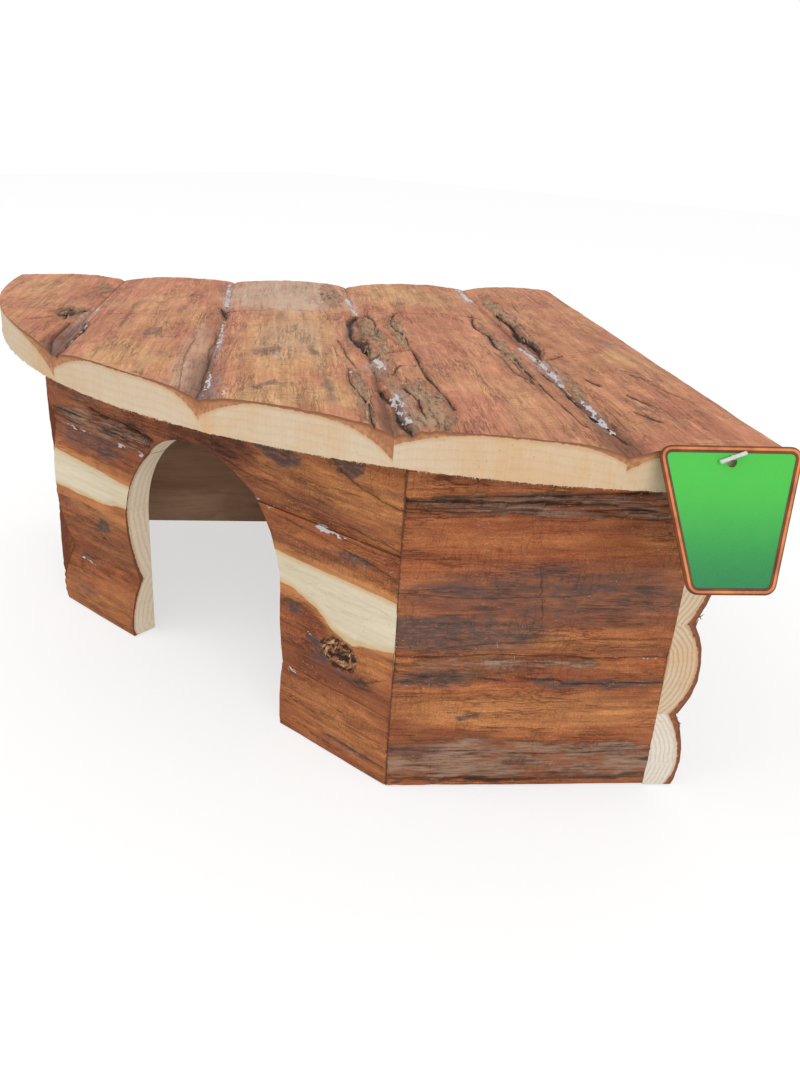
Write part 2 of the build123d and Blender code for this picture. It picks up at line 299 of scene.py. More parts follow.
DOORWAY_CRACKS = cracks(
    ((6, 97), (20, 98), (28, 97.5), (42, 94.5), (58, 94), (72, 95.5), 0.94, 1.02),
    ((34, 103), (50, 101.5), (60, 100.5), (74, 99), 0.99, 0.96),
    ((2, 93.5), (22, 92.6), (50, 92.4), (66, 91.6), 0.55, 0.6),
    ((36, 100), (58, 97.5), (72, 97), 0.44, 0.48),
    ((176, 114), (186, 109), (194, 107), (202, 106.5), 0.5, 0.42),
    ((92, 104), (120, 101), (150, 98), (202, 92), 0.28, 0.3),
    ((104, 108), (136, 104), (170, 99), 0.22, 0.24),
    ((150, 87), (176, 85.6), (202, 82), 0.28, 0.24),
    ((4, 86), (30, 84), (58, 83), 0.28, 0.24),
    ((184, 36), (190, 38), (196, 42), 0.5, 0.36),
    ((180, 35), (186, 34), (192, 35.5), 0.39, 0.24),
    ((174, 8), (184, 8.6), (200, 7.6), 0.44, 0.3),
)
RIGHT_MARKS = marks(
    stain=(
        (56, 78, 70, 13, 0.50), (22, 63, 36, 9, 0.62), (48, 86, 14, 2.6, 0.55), (22, 80, 20, 3.2, 0.65),
        (62, 80, 14, 2.4, 0.65), (12, 65, 22, 6, 0.8), (62, 68, 30, 5, 0.35), (44, 83, 3, 3, 0.5),
        (14, 45, 16, 4, 0.6), (74, 43.4, 24, 2, 0.7), (52, 45, 8, 1.8, 0.6), (26, 29.5, 4, 1.2, 0.6),
        (36, 22, 10, 1.4, 0.3), (8, 16, 13, 4, 0.5), (46, 11, 8, 1.5, 0.6), (86, 4, 14, 2, 0.6),
    ),
    ochre=(
        (60, 59, 48, 3, 0.45), (52, 32, 56, 8.5, 0.95), (30, 97, 40, 3, 0.3),
    ),
    red=(
        (60, 57, 50, 3, 0.6), (86, 20, 24, 3, 0.4),
    ),
    rough=(
        (60, 110, 60, 4.4, 0.95), (36, 51, 42, 2.4, 0.7), (24, 46, 24, 4, 0.5), (32, 12, 56, 10, 0.95),
        (82, 11, 34, 9, 0.85),
    ),
    dark=(
        (60, 112, 50, 2.6, 0.60), (50, 119, 60, 6, 0.50), (34, 2, 50, 1.6, 0.8),
    ),
)
RIGHT_CRACKS = cracks(
    ((-2, 107), (30, 107), (60, 107.5), (108, 109), 0.55, 0.6),
    ((-2, 110.6), (20, 110.2), (44, 110), (70, 109.6), (108, 112), 0.83, 0.96),
    ((10, 112.2), (40, 112.6), (70, 114), (108, 117), 0.66, 0.84),
    ((66, 106.5), (80, 105), (94, 104.5), 0.39, 0.36),
    ((47, 83), (48, 78), (48.5, 73), 0.33, 0.24),
    ((0, 53.2), (40, 53.6), (80, 53.4), (108, 53.6), 0.61, 0.6),
    ((0, 48), (16, 47), (24, 46), (36, 44), 0.44, 0.36),
    ((44, 45.6), (57, 45.2), (60, 43.2), (72, 42), (82, 43), (108, 44.4), 0.5, 0.42),
    ((0, 16), (26, 15.6), (60, 15), (84, 16), (108, 16), 0.39, 0.3),
    ((0, 3.2), (26, 2.8), (56, 1.6), (90, 3.4), 0.5, 0.42),
    ((2, 78), (30, 77.4), (60, 79), 0.19, 0.18),
    ((20, 58), (60, 60), (94, 62), 0.19, 0.18),
    ((6, 23), (8, 23), 0.55, 0.48),
    ((11.5, 118), (14, 119.7), (20, 119.9), (23.5, 118), (20, 116.2), (14, 116.3), (11.5, 118), 0.33, 0.24),
)

# Upper and lower border of the bare stripe, as along and across, left and right of the doorway
BARE_TOP = ((-10, 77), (2, 77), (34, 75.5), (58, 73.5), (140, 75), (176, 74.6), (204, 74))
BARE_BOTTOM = (
    (-10, 60), (38, 60), (54, 63), (62, 63), (140, 63), (154, 62),
    (166, 58.5), (174, 53.5), (185, 51.6), (195, 54), (204, 56.5),
)
NOT_BARE = -9.0                             # millimetres, well outside the stripe
KNOT = (178.5, 45.5, 9.5, 6.8)              # along, across and the half axes


def turned_marks(given, far):
    """The same marks end for end, measured back from a place so many millimetres along."""
    return tuple(mark._replace(along=far - mark.along) for mark in given)


def turned_cracks(given, far):
    """The same cracks end for end, measured back from a place so many millimetres along."""

    def turned(points):
        return tuple((far - along, across) for along, across in points)

    return tuple(crack._replace(points=turned(crack.points)) for crack in given)


# Boards: how thick they are across, as in the CAD frame. A wane is the share of the crown that an edge lacks.

Slab = namedtuple("Slab", "node crown_at first_wane last_wane")

# Wood under the bark, in millimetres: at both edges, where its own crown lies, and how thick it is there.
# A bend is how late the wood falls away from its crown to an edge.
Wood = namedtuple("Wood", "first crown_at last crown first_bend last_bend")

DOORWAY_TOP = Slab("doorway_top_board", 0.45, 0.20, 0.12)
DOORWAY_LEFT = (
    Slab("doorway_foot_left", 0.15, 0.05, 0.50),
    Slab("doorway_middle_left", 0.55, 0.46, 0.20),
    DOORWAY_TOP,
)
DOORWAY_RIGHT = (
    Slab("doorway_foot_right", 0.30, 0.05, 0.12),
    Slab("doorway_middle_right", 0.50, 0.14, 0.12),
    DOORWAY_TOP,
)
RIGHT_SHORT_BOARDS = (
    Slab("right_short_wall_lower", 0.40, 0.06, 0.10),
    Slab("right_short_wall_middle", 0.50, 0.10, 0.09),
    Slab("right_short_wall_top_strip", 0.50, 0.10, 0.08),
)
LEFT_SHORT_BOARDS = (
    Slab("left_short_wall_lower", 0.45, 0.08, 0.12),
    Slab("left_short_wall_upper", 0.55, 0.12, 0.08),
)
RIGHT_BACK_BOARDS = (
    Slab("right_back_wall_lower", 0.3, 0.12, 0.46),
    Slab("right_back_wall_middle", 0.5, 0.42, 0.42),
    Slab("right_back_wall_upper", 0.5, 0.46, 0.29),
)
LEFT_BACK_BOARDS = (
    Slab("left_back_wall_lower", 0.4, 0.25, 0.42),
    Slab("left_back_wall_middle", 0.5, 0.42, 0.42),
    Slab("left_back_wall_upper", 0.5, 0.42, 0.25),
)
ROOF_SLABS = (
    (Slab("roof_plank_1", 0.60, 0.12, 0.14), 0.264, Wood(3.0, 0.40, 1.7, 12.8, 1.7, 3.9)),
    (Slab("roof_plank_2", 0.50, 0.15, 0.12), 0.236, Wood(4.7, 0.32, 3.4, 12.8, 1.7, 6.0)),
    (Slab("roof_plank_3", 0.45, 0.12, 0.16), 0.240, Wood(4.8, 0.34, 2.0, 12.8, 1.7, 3.9)),
    (Slab("roof_plank_4", 0.50, 0.17, 0.14), 0.260, Wood(7.0, 0.40, 7.4, 12.8, 1.7, 4.5)),
    (Slab("roof_plank_5", 0.60, 0.15, 0.10), 0.188, Wood(5.6, 0.40, 8.0, 12.8, 1.7, 3.9)),
)


def smooth(low, high, value):
    """Zero below low, one above high and an even curve between."""
    share = min(max((value - low) / (high - low), 0.0), 1.0)
    return share * share * (3 - 2 * share)


def between(points, value):
    """Height of a bent line, given by its points, at a value."""
    for (x0, y0), (x1, y1) in zip(points, points[1:]):
        if value <= x1:
            return y0 + (y1 - y0) * max(value - x0, 0) / (x1 - x0)
    return points[-1][1]


def wall_wood(slab, crown):
    """Wood of a wall board: its bark is a thin skin at the crown and thicker at the seams."""
    skin, at_seam = (0.7, 1.5) if slab.node.startswith("doorway") else (1.2, 2.6)
    first = crown / MM * (1 - slab.first_wane) - at_seam
    last = crown / MM * (1 - slab.last_wane) - at_seam
    return Wood(first, slab.crown_at, last, crown / MM - skin, 2.0, 2.0)


RING_SHARE = 0.75                           # radius of the outermost ring, as a share of the bark's arc


def arc_radius(reach, wane):
    """Radius of an arc that falls by its wane over its reach."""
    return (reach**2 + wane**2) / (2 * wane)


class Section:
    """A slab's thickness across its width, as two arcs that are level at the crown, and its wood."""

    def __init__(self, slab, start, end, crown, wood):
        self.start, self.end, self.crown, self.wood = start, end, crown, wood
        self.top = start + (end - start) * slab.crown_at
        self.wanes = (crown * slab.first_wane, crown * slab.last_wane)

    def side(self, across):
        """Reach from the crown to the edge on this side, how far across is on it, and the edge's wane."""
        if across < self.top:
            return self.top - self.start, self.top - across, self.wanes[0]
        return self.end - self.top, across - self.top, self.wanes[1]

    def thickness(self, across):
        reach, away, wane = self.side(across)
        radius = arc_radius(reach, wane)
        away = min(away, reach)
        return self.crown - (radius - sqrt(radius**2 - away**2))

    def bark(self, across):
        """Thickness of the bark over the wood, which has a crown of its own."""
        wood = self.wood
        share = (across - self.start) / (self.end - self.start)
        if share < wood.crown_at:
            past, edge, bend = 1 - share / wood.crown_at, wood.first, wood.first_bend
        else:
            past, edge, bend = (share - wood.crown_at) / (1 - wood.crown_at), wood.last, wood.last_bend
        under = wood.crown - (wood.crown - edge) * min(past, 1.0) ** bend
        return self.thickness(across) - under * MM

    def ring(self, across, depth):
        """Distance from the tree's heart, which lies behind the sawn face."""
        reach, away, wane = self.side(across)
        radius = arc_radius(reach, wane) * RING_SHARE
        return hypot(away, radius - self.crown + depth)


class Bark:
    """Relief and paint of one wall or of the roof."""

    def __init__(self, marks, cracks, seed, relief, rough=1.0):
        self.marks, self.cracks, self.seed, self.relief, self.rough = marks, cracks, seed, relief, rough

    def wander(self, along, across, reach, size):
        """A shift in millimetres that makes an edge irregular."""
        return noise.noise(Vector((along / (size * 2.5), across / size, self.seed))) * reach

    def amounts(self, along, across):
        """How much of each kind of mark is at a point."""
        found = dict.fromkeys(KINDS, 0.0)
        shift = self.wander(along, across, 5.0, 5.0) + self.wander(along + 300, across, 2.5, 1.8)
        for mark in self.marks:
            away_along = (along + shift * 1.5 - mark.along) / mark.long
            away_across = (across + shift * 0.4 - mark.across) / mark.wide
            if abs(away_along) < 1.5 and abs(away_across) < 1.5:
                amount = mark.strength * (1 - smooth(0.45, 1.35, hypot(away_along, away_across)))
                found[mark.kind] = max(found[mark.kind], amount)
        return found

    def crack(self, along, across):
        """Signed distance to the nearest crack, its width and its depth here."""
        best = (9.0, 0.0, 0.0)              # far from any crack
        nearest = 5.0                       # millimetres, no crack reaches further
        across += self.wander(along, across + 70, 1.8, 9.0)
        for line in self.cracks:
            for (a0, c0), (a1, c1) in zip(line.points, line.points[1:]):
                run, rise = a1 - a0, c1 - c0
                share = ((along - a0) * run + (across - c0) * rise) / (run * run + rise * rise)
                held = min(max(share, 0.0), 1.0)
                away = hypot(along - a0 - run * held, across - c0 - rise * held)
                if away < nearest:
                    nearest = away
                    side = ((across - c0) * run - (along - a0) * rise) / hypot(run, rise)
                    past = abs(share - held) * hypot(run, rise)
                    fade = (1 - smooth(0.0, 2.5, past)) * (1 - smooth(1.4, 2.6, away))
                    best = (side, line.width * fade, line.depth * fade)
        return best

    def height(self, along, across, found, crack):
        """Relief of the bark in metres."""
        fibres = noise.fractal(Vector((along / 34, across / 4.5, self.seed)), 0.75, 2.2, 5)
        waves = noise.noise(Vector((along / 60, across / 22, self.seed + 9)))
        lift = 0.26 * fibres + 0.45 * waves
        flaky = max(found["rough"], 0.6 * found["dark"])
        if flaky > 0.01:
            place = Vector((along / 16, across / 3.2, self.seed + 4))
            torn = noise.ridged_multi_fractal(place, 0.9, 2.1, 4, 1.0, 2.0)
            lift += flaky * (0.95 * torn - 0.65)
        lift -= 0.9 * found["dark"]
        side, width, depth = crack
        if depth > 0:
            lift -= depth * max(0.0, 1 - abs(side) / (0.5 * width + 0.9))
            lift += 0.25 * depth * (1 - smooth(0.0, 1.8, abs(abs(side) - width - 0.9)))
        return lift * self.relief * self.rough * MM


class Pile:
    """Many small shapes in one mesh, made a few at a time, since a bmesh gets slower as it fills."""

    few = 40

    def __init__(self):
        self.whole, self.part, self.count = bmesh.new(), bmesh.new(), 0

    def next(self):
        """The mesh to make the next shape in."""
        self.count += 1
        if self.count % self.few == 0:
            self.pour()
        return self.part

    def pour(self):
        data = bpy.data.meshes.new("part")
        self.part.to_mesh(data)
        self.whole.from_mesh(data)
        bpy.data.meshes.remove(data)
        self.part.clear()

    def finish(self):
        self.pour()
        self.part.free()
        return self.whole


class Layers:
    """The values that the materials read from a slab's vertices."""

    names = ("bark", "hollow", *KINDS, "bare", "knot", "ring", "under", "crack_side", "crack_width")

    def __init__(self, mesh):
        self.grain = mesh.verts.layers.float_vector.new("grain")
        self.one = {name: mesh.verts.layers.float.new(name) for name in self.names}

    def paint(self, vertex, grain, **values):
        vertex[self.grain] = grain
        for name, value in values.items():
            vertex[self.one[name]] = value


def raise_faces(mesh, faces, height):
    """Extrudes flat faces upward."""
    raised = bmesh.ops.extrude_face_region(mesh, geom=faces)
    tops = [part for part in raised["geom"] if isinstance(part, bmesh.types.BMVert)]
    bmesh.ops.translate(mesh, verts=tops, vec=(0, 0, height))


def lattice(columns, rows, layers):
    """A closed block of columns by rows by layers, one unit each way, that is then set in place."""
    mesh = bmesh.new()
    bmesh.ops.create_grid(mesh, x_segments=columns, y_segments=rows, size=0.5)
    raise_faces(mesh, mesh.faces[:], 1)
    standing = [edge for edge in mesh.edges if abs(edge.verts[0].co.z - edge.verts[1].co.z) > 0.5]
    bmesh.ops.subdivide_edges(mesh, edges=standing, cuts=layers - 1, use_grid_fill=True)
    bmesh.ops.recalc_face_normals(mesh, faces=mesh.faces)
    return mesh


def face_slot(face):
    """0 on the bark, 1 on the ends and edges, 2 on the sawn face, while the block is still a unit block."""
    height = face.calc_center_median().z
    if height > 0.9999:
        return 0
    return 2 if height < 0.0001 else 1


def add_object(name, mesh, materials=()):
    """Turns a bmesh into an object at the origin."""
    data = bpy.data.meshes.new(name)
    mesh.to_mesh(data)
    mesh.free()
    for material in materials:
        data.materials.append(material)
    made = bpy.data.objects.new(name, data)
    bpy.context.scene.collection.objects.link(made)
    return made


def finish_mesh(name, mesh, materials, body, nodes=(), sharp=radians(38)):
    """Turns a bmesh into a piece that rides a body and stands for CAD nodes."""
    piece = add_object(name, mesh, materials)
    piece.data.polygons.foreach_set("use_smooth", [True] * len(piece.data.polygons))
    piece.data.set_sharp_from_angle(angle=sharp)
    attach(piece, body)
    if nodes:
        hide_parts(*nodes)
    return piece


class WallShape:
    """Where a wall board's points lie. Left and right ends may be mitred or follow the doorway."""

    def __init__(self, place, bark_ends, sawn_ends, slab):
        self.place, self.bark_ends, self.sawn_ends, self.slab = place, bark_ends, sawn_ends, slab

    def end(self, number, depth):
        """Where the wall ends at a depth behind the bark's crown."""
        bark, sawn = self.bark_ends[number], self.sawn_ends[number]
        return bark + (sawn - bark) * depth / self.slab


MITRED_BARK = 0.006                         # metres of bark that show on a mitred end


def make_board(section, bark, shape, counts, colour_shift, materials, bared=False):
    """One slab. shape turns a place in the unit block into a point. A bared one has the stripe and knot."""
    columns, rows, layers = counts
    mesh = lattice(columns, rows, layers)
    for face in mesh.faces:
        face.material_index = face_slot(face)
    values = Layers(mesh)
    known = {}
    for vertex in mesh.verts:
        f, g, h = vertex.co.x + 0.5, vertex.co.y + 0.5, vertex.co.z
        column = round(f * columns), round(g * rows)
        if column not in known:
            known[column] = bark_at(shape, section, bark, f, g, bared)
        found, crack, lift, torn, stripe = known[column]
        along, across, thick = shape.locate(f, g, h, section)
        depth = h * (thick + lift)
        vertex.co = shape.point(along, across, depth, f, g, h)
        covered = section.bark(across)
        if shape.mitred(f):
            covered = max(covered, MITRED_BARK)
        values.paint(
            vertex,
            Vector((along + colour_shift, across + colour_shift * 0.37, depth)),
            bark=(depth - thick + covered) / MM,
            # Painted shade that grows as the relief sinks below its mean
            hollow=smooth(0.25, 1.3, -lift / MM),
            **found,
            bare=stripe,
            knot=torn,
            ring=section.ring(across, depth),
            under=(thick + lift - depth) / MM,
            crack_side=crack[0],
            crack_width=crack[1],
        )
    bmesh.ops.recalc_face_normals(mesh, faces=mesh.faces)
    return finish_mesh(shape.node + "_slab", mesh, materials, HOUSE, (shape.node,))


def bark_at(shape, section, bark, f, g, bared):
    """Marks, nearest crack, relief in metres, torn wood and distance into the stripe over a place."""
    along, across, _ = shape.locate(f, g, 1.0, section)
    a, c = along / MM, across / MM
    found = bark.amounts(a, c)
    # A mitred end's last column of bark takes a full dark mark: sunk relief and a painted shadow line along
    # the corner
    if shape.mitred(f):
        found["dark"] = 1.0
    crack = bark.crack(a, c)
    lift = bark.height(a, c, found, crack)
    swell, torn = knot_relief(a, c) if bared else (0.0, 0.0)
    stripe = bare_stripe(bark, a, c) if bared else NOT_BARE
    if stripe > -0.6:
        lift = lift * 0.25 - 0.25 * MM * smooth(-0.6, 0.8, stripe)
    return found, crack, lift + swell * MM - shape.dip(along, across), torn, stripe


def knot_relief(along, across):
    """Height in millimetres and how torn the wood is at the knot."""
    away = hypot((along - KNOT[0]) / KNOT[2], (across - KNOT[1]) / KNOT[3])
    away += 0.16 * noise.noise(Vector((along / 3, across / 3, 5.0)))
    if away > 2.2:
        return 0.0, 0.0
    inside = 1 - smooth(0.75, 1.1, away)
    rim = 1 - smooth(0.0, 0.5, abs(away - 1.05))
    torn = noise.ridged_multi_fractal(Vector((along / 4.2, across / 3.4, 2.0)), 0.8, 2.2, 4, 1.0, 2.0)
    return inside * (1.5 * torn - 1.3) + 0.9 * rim, inside


def bare_stripe(bark, along, across):
    """Distance in millimetres inside the border of the bare stripe, less than zero outside it."""
    wobble = bark.wander(along, 40, 1.2, 6.0)
    above = across - between(BARE_BOTTOM, along) + wobble
    below = between(BARE_TOP, along) - across + wobble * 0.5
    return min(above, below)


class RoofShape:
    """Points of a roof slab: along is from front to back and across from left to right."""

    def __init__(self, node, place, left, right, sizes, centre):
        self.node, self.place, self.left, self.right = node, place, left, right
        self.sizes, self.centre = sizes, centre
        self.rounded = left < centre[0] - sizes.roof_radius      # the arc takes its left edge away

    def chord(self, away):
        """Half the arc's chord at a distance from its centre."""
        return sqrt(max(self.sizes.roof_radius**2 - away**2, 0.0))

    def front(self, across):
        return self.centre[1] - self.chord(across - self.centre[0])

    def locate(self, f, g, h, section):
        if self.rounded:
            low, high = self.front(self.right), self.sizes.side
            along = low + (high - low) * f
            edge = self.centre[0] - self.chord(along - self.centre[1])
            across = edge + (self.right - edge) * g
        else:
            across = self.left + (self.right - self.left) * g
            front = self.front(across)
            along = front + (self.sizes.side - front) * f
        return along, across, section.thickness(across)

    def mitred(self, f):
        return False

    def dip(self, along, across):
        """How much lower the bark lies beside a seam, most of all at the front."""
        inner_left = across - self.left if self.left > -0.99 * self.sizes.side else 1.0
        inner_right = self.right - across if self.right < -MM else 1.0
        away = min(inner_left, inner_right)
        ahead = 1 - smooth(5 * MM, 75 * MM, along - self.front(across))
        broad = (1 - smooth(0.0, 12 * MM, away)) * (0.2 + 1.1 * ahead)
        return (broad + 0.6 * (1 - smooth(0.0, 1.8 * MM, away))) * MM

    def point(self, along, across, depth, f, g, h):
        ragged = Vector((across / (2.2 * MM), depth / (1.5 * MM), 3.0))
        at_front = 1.0 if f == 0 or (g == 0 and self.rounded) else 0.0
        at_back = 1.0 if f == 1 else 0.0
        out = 0.35 * MM * noise.noise(ragged) * (at_front - at_back)
        frayed = noise.noise(Vector((across / (1.3 * MM), along / (1.3 * MM), 8.0)))
        fuzz = at_front * (1 - smooth(0.0, 0.25, h)) * frayed
        return self.place.point(along - out, across, depth - abs(fuzz) * 0.6 * MM)


class WallBoardShape:
    """Points of a wall board: along is along the wall and across is up it."""

    def __init__(self, node, wall, door=None, side=0):
        self.node, self.wall, self.door, self.side_of_door = node, wall, door, side
        self.middle = sum(wall.bark_ends) / 2
        low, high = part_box(node)
        self.low, self.high = low.z, high.z

    def arch(self):
        """The doorway's radius, and the height where its arch springs."""
        radius = self.door.door_width / 2
        return radius, self.door.door_height - radius

    def half_opening(self, height):
        """Half the doorway's width at a height."""
        radius, spring = self.arch()
        return sqrt(max(radius**2 - max(height - spring, 0.0) ** 2, 0.0))

    def lower_edge(self, along, seam):
        """Bottom of the top board, which is arched over the doorway."""
        radius, spring = self.arch()
        away = abs(along - self.middle)
        return max(seam, spring + sqrt(max(radius**2 - away**2, 0.0)) if away < radius else 0.0)

    def locate(self, f, g, h, section):
        wall = self.wall
        if self.door and self.side_of_door == 0:
            along = wall.bark_ends[0] + (wall.bark_ends[1] - wall.bark_ends[0]) * f
            lower = self.lower_edge(along, section.start)
            across = lower + (self.high - lower) * g
            thick = section.thickness(across)
            near = max(0.0, (abs(f - 0.5) - 0.4) / 0.1)
            end = 0 if f < 0.5 else 1
            along += (wall.end(end, wall.slab - h * thick) - wall.bark_ends[end]) * near
            return along, across, thick
        across = self.low + (self.high - self.low) * g
        thick = section.thickness(across)
        depth = wall.slab - h * thick
        first, last = wall.end(0, depth), wall.end(1, depth)
        if self.door:
            half = self.half_opening(across)
            first, last = (first, self.middle - half) if self.side_of_door < 0 else (self.middle + half, last)
        return first + (last - first) * f, across, thick

    def mitred(self, f):
        """Whether a place in the block is on an end that meets another wall at a slant."""
        if f not in (0, 1) or (self.side_of_door < 0 and f == 1) or (self.side_of_door > 0 and f == 0):
            return False
        return self.wall.bark_ends[int(f)] != self.wall.sawn_ends[int(f)]

    def dip(self, along, across):
        return 0.0

    def point(self, along, across, depth, f, g, h):
        return self.wall.place.point(along, across, depth)


# Shader nodes

NODES_IN_A_ROW = 14
START = (0.0, 0.0, 0.0)


class Tree:
    """Adds nodes to a node tree, left to right, and links them."""

    def __init__(self, tree):
        self.tree, self.count = tree, 0

    def node(self, kind, **settings):
        made = self.tree.nodes.new(kind)
        row, column = divmod(self.count, NODES_IN_A_ROW)
        made.location = (column * 190, -row * 260)
        self.count += 1
        for name, value in settings.items():
            setattr(made, name, value)
        return made

    def put(self, socket, value):
        if isinstance(value, bpy.types.NodeSocket):
            self.tree.links.new(value, socket)
        elif socket.type == "RGBA":
            socket.default_value = (*value, 1)
        else:
            socket.default_value = value

    def fill(self, node, names, values):
        for name, value in zip(names, values):
            self.put(node.inputs[name], value)

    def math(self, operation, first, second=0.0, clamp=False):
        made = self.node("ShaderNodeMath", operation=operation, use_clamp=clamp)
        self.put(made.inputs[0], first)
        self.put(made.inputs[1], second)
        return made.outputs[0]

    def plus(self, first, second, clamp=False):
        return self.math("ADD", first, second, clamp)

    def minus(self, first, second):
        return self.math("SUBTRACT", first, second)

    def times(self, first, second):
        return self.math("MULTIPLY", first, second)

    def range(self, value, low, high, out_low=0.0, out_high=1.0):
        made = self.node("ShaderNodeMapRange", interpolation_type="SMOOTHSTEP")
        names = ("Value", "From Min", "From Max", "To Min", "To Max")
        self.fill(made, names, (value, low, high, out_low, out_high))
        return made.outputs["Result"]

    def mix(self, factor, first, second, blend="MIX"):
        made = self.node("ShaderNodeMix", data_type="RGBA", blend_type=blend, clamp_factor=True)
        self.put(made.inputs["Factor"], factor)
        self.put(made.inputs[6], first)
        self.put(made.inputs[7], second)
        return made.outputs[2]

    def tint(self, base, amount, dark, light):
        """Base colour times a colour between dark and light."""
        return self.stretch(base, self.mix(amount, dark, light))

    def stretch(self, vector, scale):
        made = self.node("ShaderNodeVectorMath", operation="MULTIPLY")
        self.put(made.inputs[0], vector)
        self.put(made.inputs[1], scale)
        return made.outputs[0]

    def noise(self, vector, scale, detail=4.0, roughness=0.55, distortion=0.0):
        made = self.node("ShaderNodeTexNoise")
        names = ("Vector", "Scale", "Detail", "Roughness", "Distortion")
        self.fill(made, names, (vector, scale, detail, roughness, distortion))
        return made.outputs["Fac"]

    def grained(self, vector, scale, detail=4.0, roughness=0.55, distortion=0.0):
        """Noise with a scale of its own along each axis."""
        return self.noise(self.stretch(vector, scale), 1.0, detail, roughness, distortion)

    def voronoi(self, vector, scale, feature="F1"):
        made = self.node("ShaderNodeTexVoronoi", feature=feature)
        self.put(made.inputs["Vector"], vector)
        self.put(made.inputs["Scale"], scale)
        return made.outputs["Distance"]

    def value(self, name, kind="Fac"):
        """What a vertex carries under a name."""
        return self.node("ShaderNodeAttribute", attribute_name=name).outputs[kind]

    def shaken(self, name, ragged, reach):
        """What a vertex carries under a name, moved up and down by a ragged noise."""
        return self.plus(self.value(name), self.times(self.minus(ragged, 0.5), reach))

    def place(self):
        """Object coordinates."""
        return self.node("ShaderNodeTexCoord").outputs["Object"]

    def group(self, group, **given):
        made = self.node("ShaderNodeGroup")
        made.node_tree = group
        for name, value in given.items():
            self.put(made.inputs[name.replace("_", " ").capitalize()], value)
        return made.outputs

    def bump(self, height, distance, strength):
        made = self.node("ShaderNodeBump")
        self.fill(made, ("Strength", "Distance", "Height"), (strength, distance, height))
        return made.outputs["Normal"]


def effect(name, inputs, outputs, build):
    """A shader node group, made once: inputs with their defaults, and outputs that are single values."""
    if name in bpy.data.node_groups:
        return bpy.data.node_groups[name]
    group = bpy.data.node_groups.new(name, "ShaderNodeTree")
    for label, default in inputs.items():
        kind = "NodeSocketFloat" if isinstance(default, float) else "NodeSocketVector"
        group.interface.new_socket(label, in_out="INPUT", socket_type=kind).default_value = default
    for label in outputs:
        group.interface.new_socket(label, in_out="OUTPUT", socket_type="NodeSocketFloat")
    tree = Tree(group)
    results = build(tree, tree.node("NodeGroupInput").outputs)
    end = tree.node("NodeGroupOutput")
    for label, result in zip(outputs, results):
        group.links.new(result, end.inputs[label])
    return group


def long_fibres():
    """Fibres along the slab: broad, middling and fine streaks, dark hair lines, and their height."""

    def build(tree, given):
        broad = tree.grained(given["Vector"], (14, 120, 120), 6, 0.62, 0.4)
        middling = tree.grained(given["Vector"], (20, 330, 330), 6, 0.66, 0.5)
        fine = tree.grained(given["Vector"], (90, 1300, 1300), 4, 0.72)
        bent = tree.grained(given["Vector"], (24, 270, 270), 5, 0.60, 0.6)
        first = tree.math("ABSOLUTE", tree.minus(bent, 0.52))
        second = tree.math("ABSOLUTE", tree.minus(bent, 0.43))
        off_line = tree.math("MINIMUM", first, second)
        seen = tree.range(tree.grained(given["Vector"], (30, 90, 90), 4, 0.6), 0.44, 0.60)
        lines = tree.times(tree.range(off_line, 0.004, 0.020, 1.0, 0.0), seen)
        low = tree.plus(tree.times(broad, 0.45), tree.times(middling, 0.35))
        height = tree.plus(low, tree.times(fine, 0.20))
        height = tree.minus(height, tree.times(lines, 0.25))
        broad, middling = tree.range(broad, 0.42, 0.66), tree.range(middling, 0.30, 0.70)
        return broad, middling, tree.range(fine, 0.28, 0.72), lines, height

    return effect("Long Fibres", {"Vector": START}, ("Broad", "Middling", "Fine", "Lines", "Height"), build)


def blotches():
    """Soft irregular patches, twice as long as wide."""

    def build(tree, given):
        shape = tree.stretch(given["Vector"], (0.5, 1.0, 1.0))
        cloud = tree.noise(shape, given["Scale"], 5, 0.6, 0.8)
        return (tree.range(cloud, given["Low"], given["High"]),)

    return effect("Blotches", {"Vector": START, "Scale": 30.0, "Low": 0.45, "High": 0.62}, ("Mask",), build)


def fine_cracks():
    """Hair cracks that run mostly across the slab, broken up by a soft mask."""

    def build(tree, given):
        bent = tree.noise(given["Vector"], 260.0, 3, 0.6)
        moved = tree.node("ShaderNodeVectorMath", operation="MULTIPLY_ADD")
        tree.put(moved.inputs[0], given["Vector"])
        tree.put(moved.inputs[1], given["Stretch"])
        tree.put(moved.inputs[2], tree.stretch(bent, (0.6, 0.6, 0.6)))
        edge = tree.voronoi(moved.outputs[0], 1.0, "DISTANCE_TO_EDGE")
        line = tree.range(edge, 0.0, 0.07, 1.0, 0.0)
        seen = tree.range(tree.noise(given["Vector"], 70.0, 3), 0.46, 0.60)
        return (tree.times(line, seen),)

    return effect("Fine Cracks", {"Vector": START, "Stretch": (420, 110, 110)}, ("Mask",), build)


def specks():
    """Light crumbs and saw dust that lie on the bark."""

    def build(tree, given):
        dot = tree.voronoi(tree.stretch(given["Vector"], (1, 2.2, 2.2)), given["Scale"])
        few = tree.range(tree.noise(given["Vector"], 90.0, 4, 0.7), 0.50, 0.66)
        return (tree.times(tree.range(dot, 0.10, 0.20, 1.0, 0.0), few),)

    return effect("Specks", {"Vector": START, "Scale": 420.0}, ("Mask",), build)


def growth_rings():
    """Growth rings on an end: distance from the heart, bent a little, as thin dark lines."""

    def build(tree, given):
        bend = tree.times(tree.noise(given["Vector"], 60.0, 3), 0.0042)
        turn = tree.math("DIVIDE", tree.plus(given["Distance"], bend), given["Spacing"])
        share = tree.math("FRACT", turn)
        late = tree.range(share, 0.45, 0.92)
        early = tree.range(share, 0.97, 1.0, 1.0, 0.0)
        return (tree.times(late, early),)

    return effect("Growth Rings", {"Vector": START, "Distance": 0.0, "Spacing": 0.0032}, ("Ring",), build)


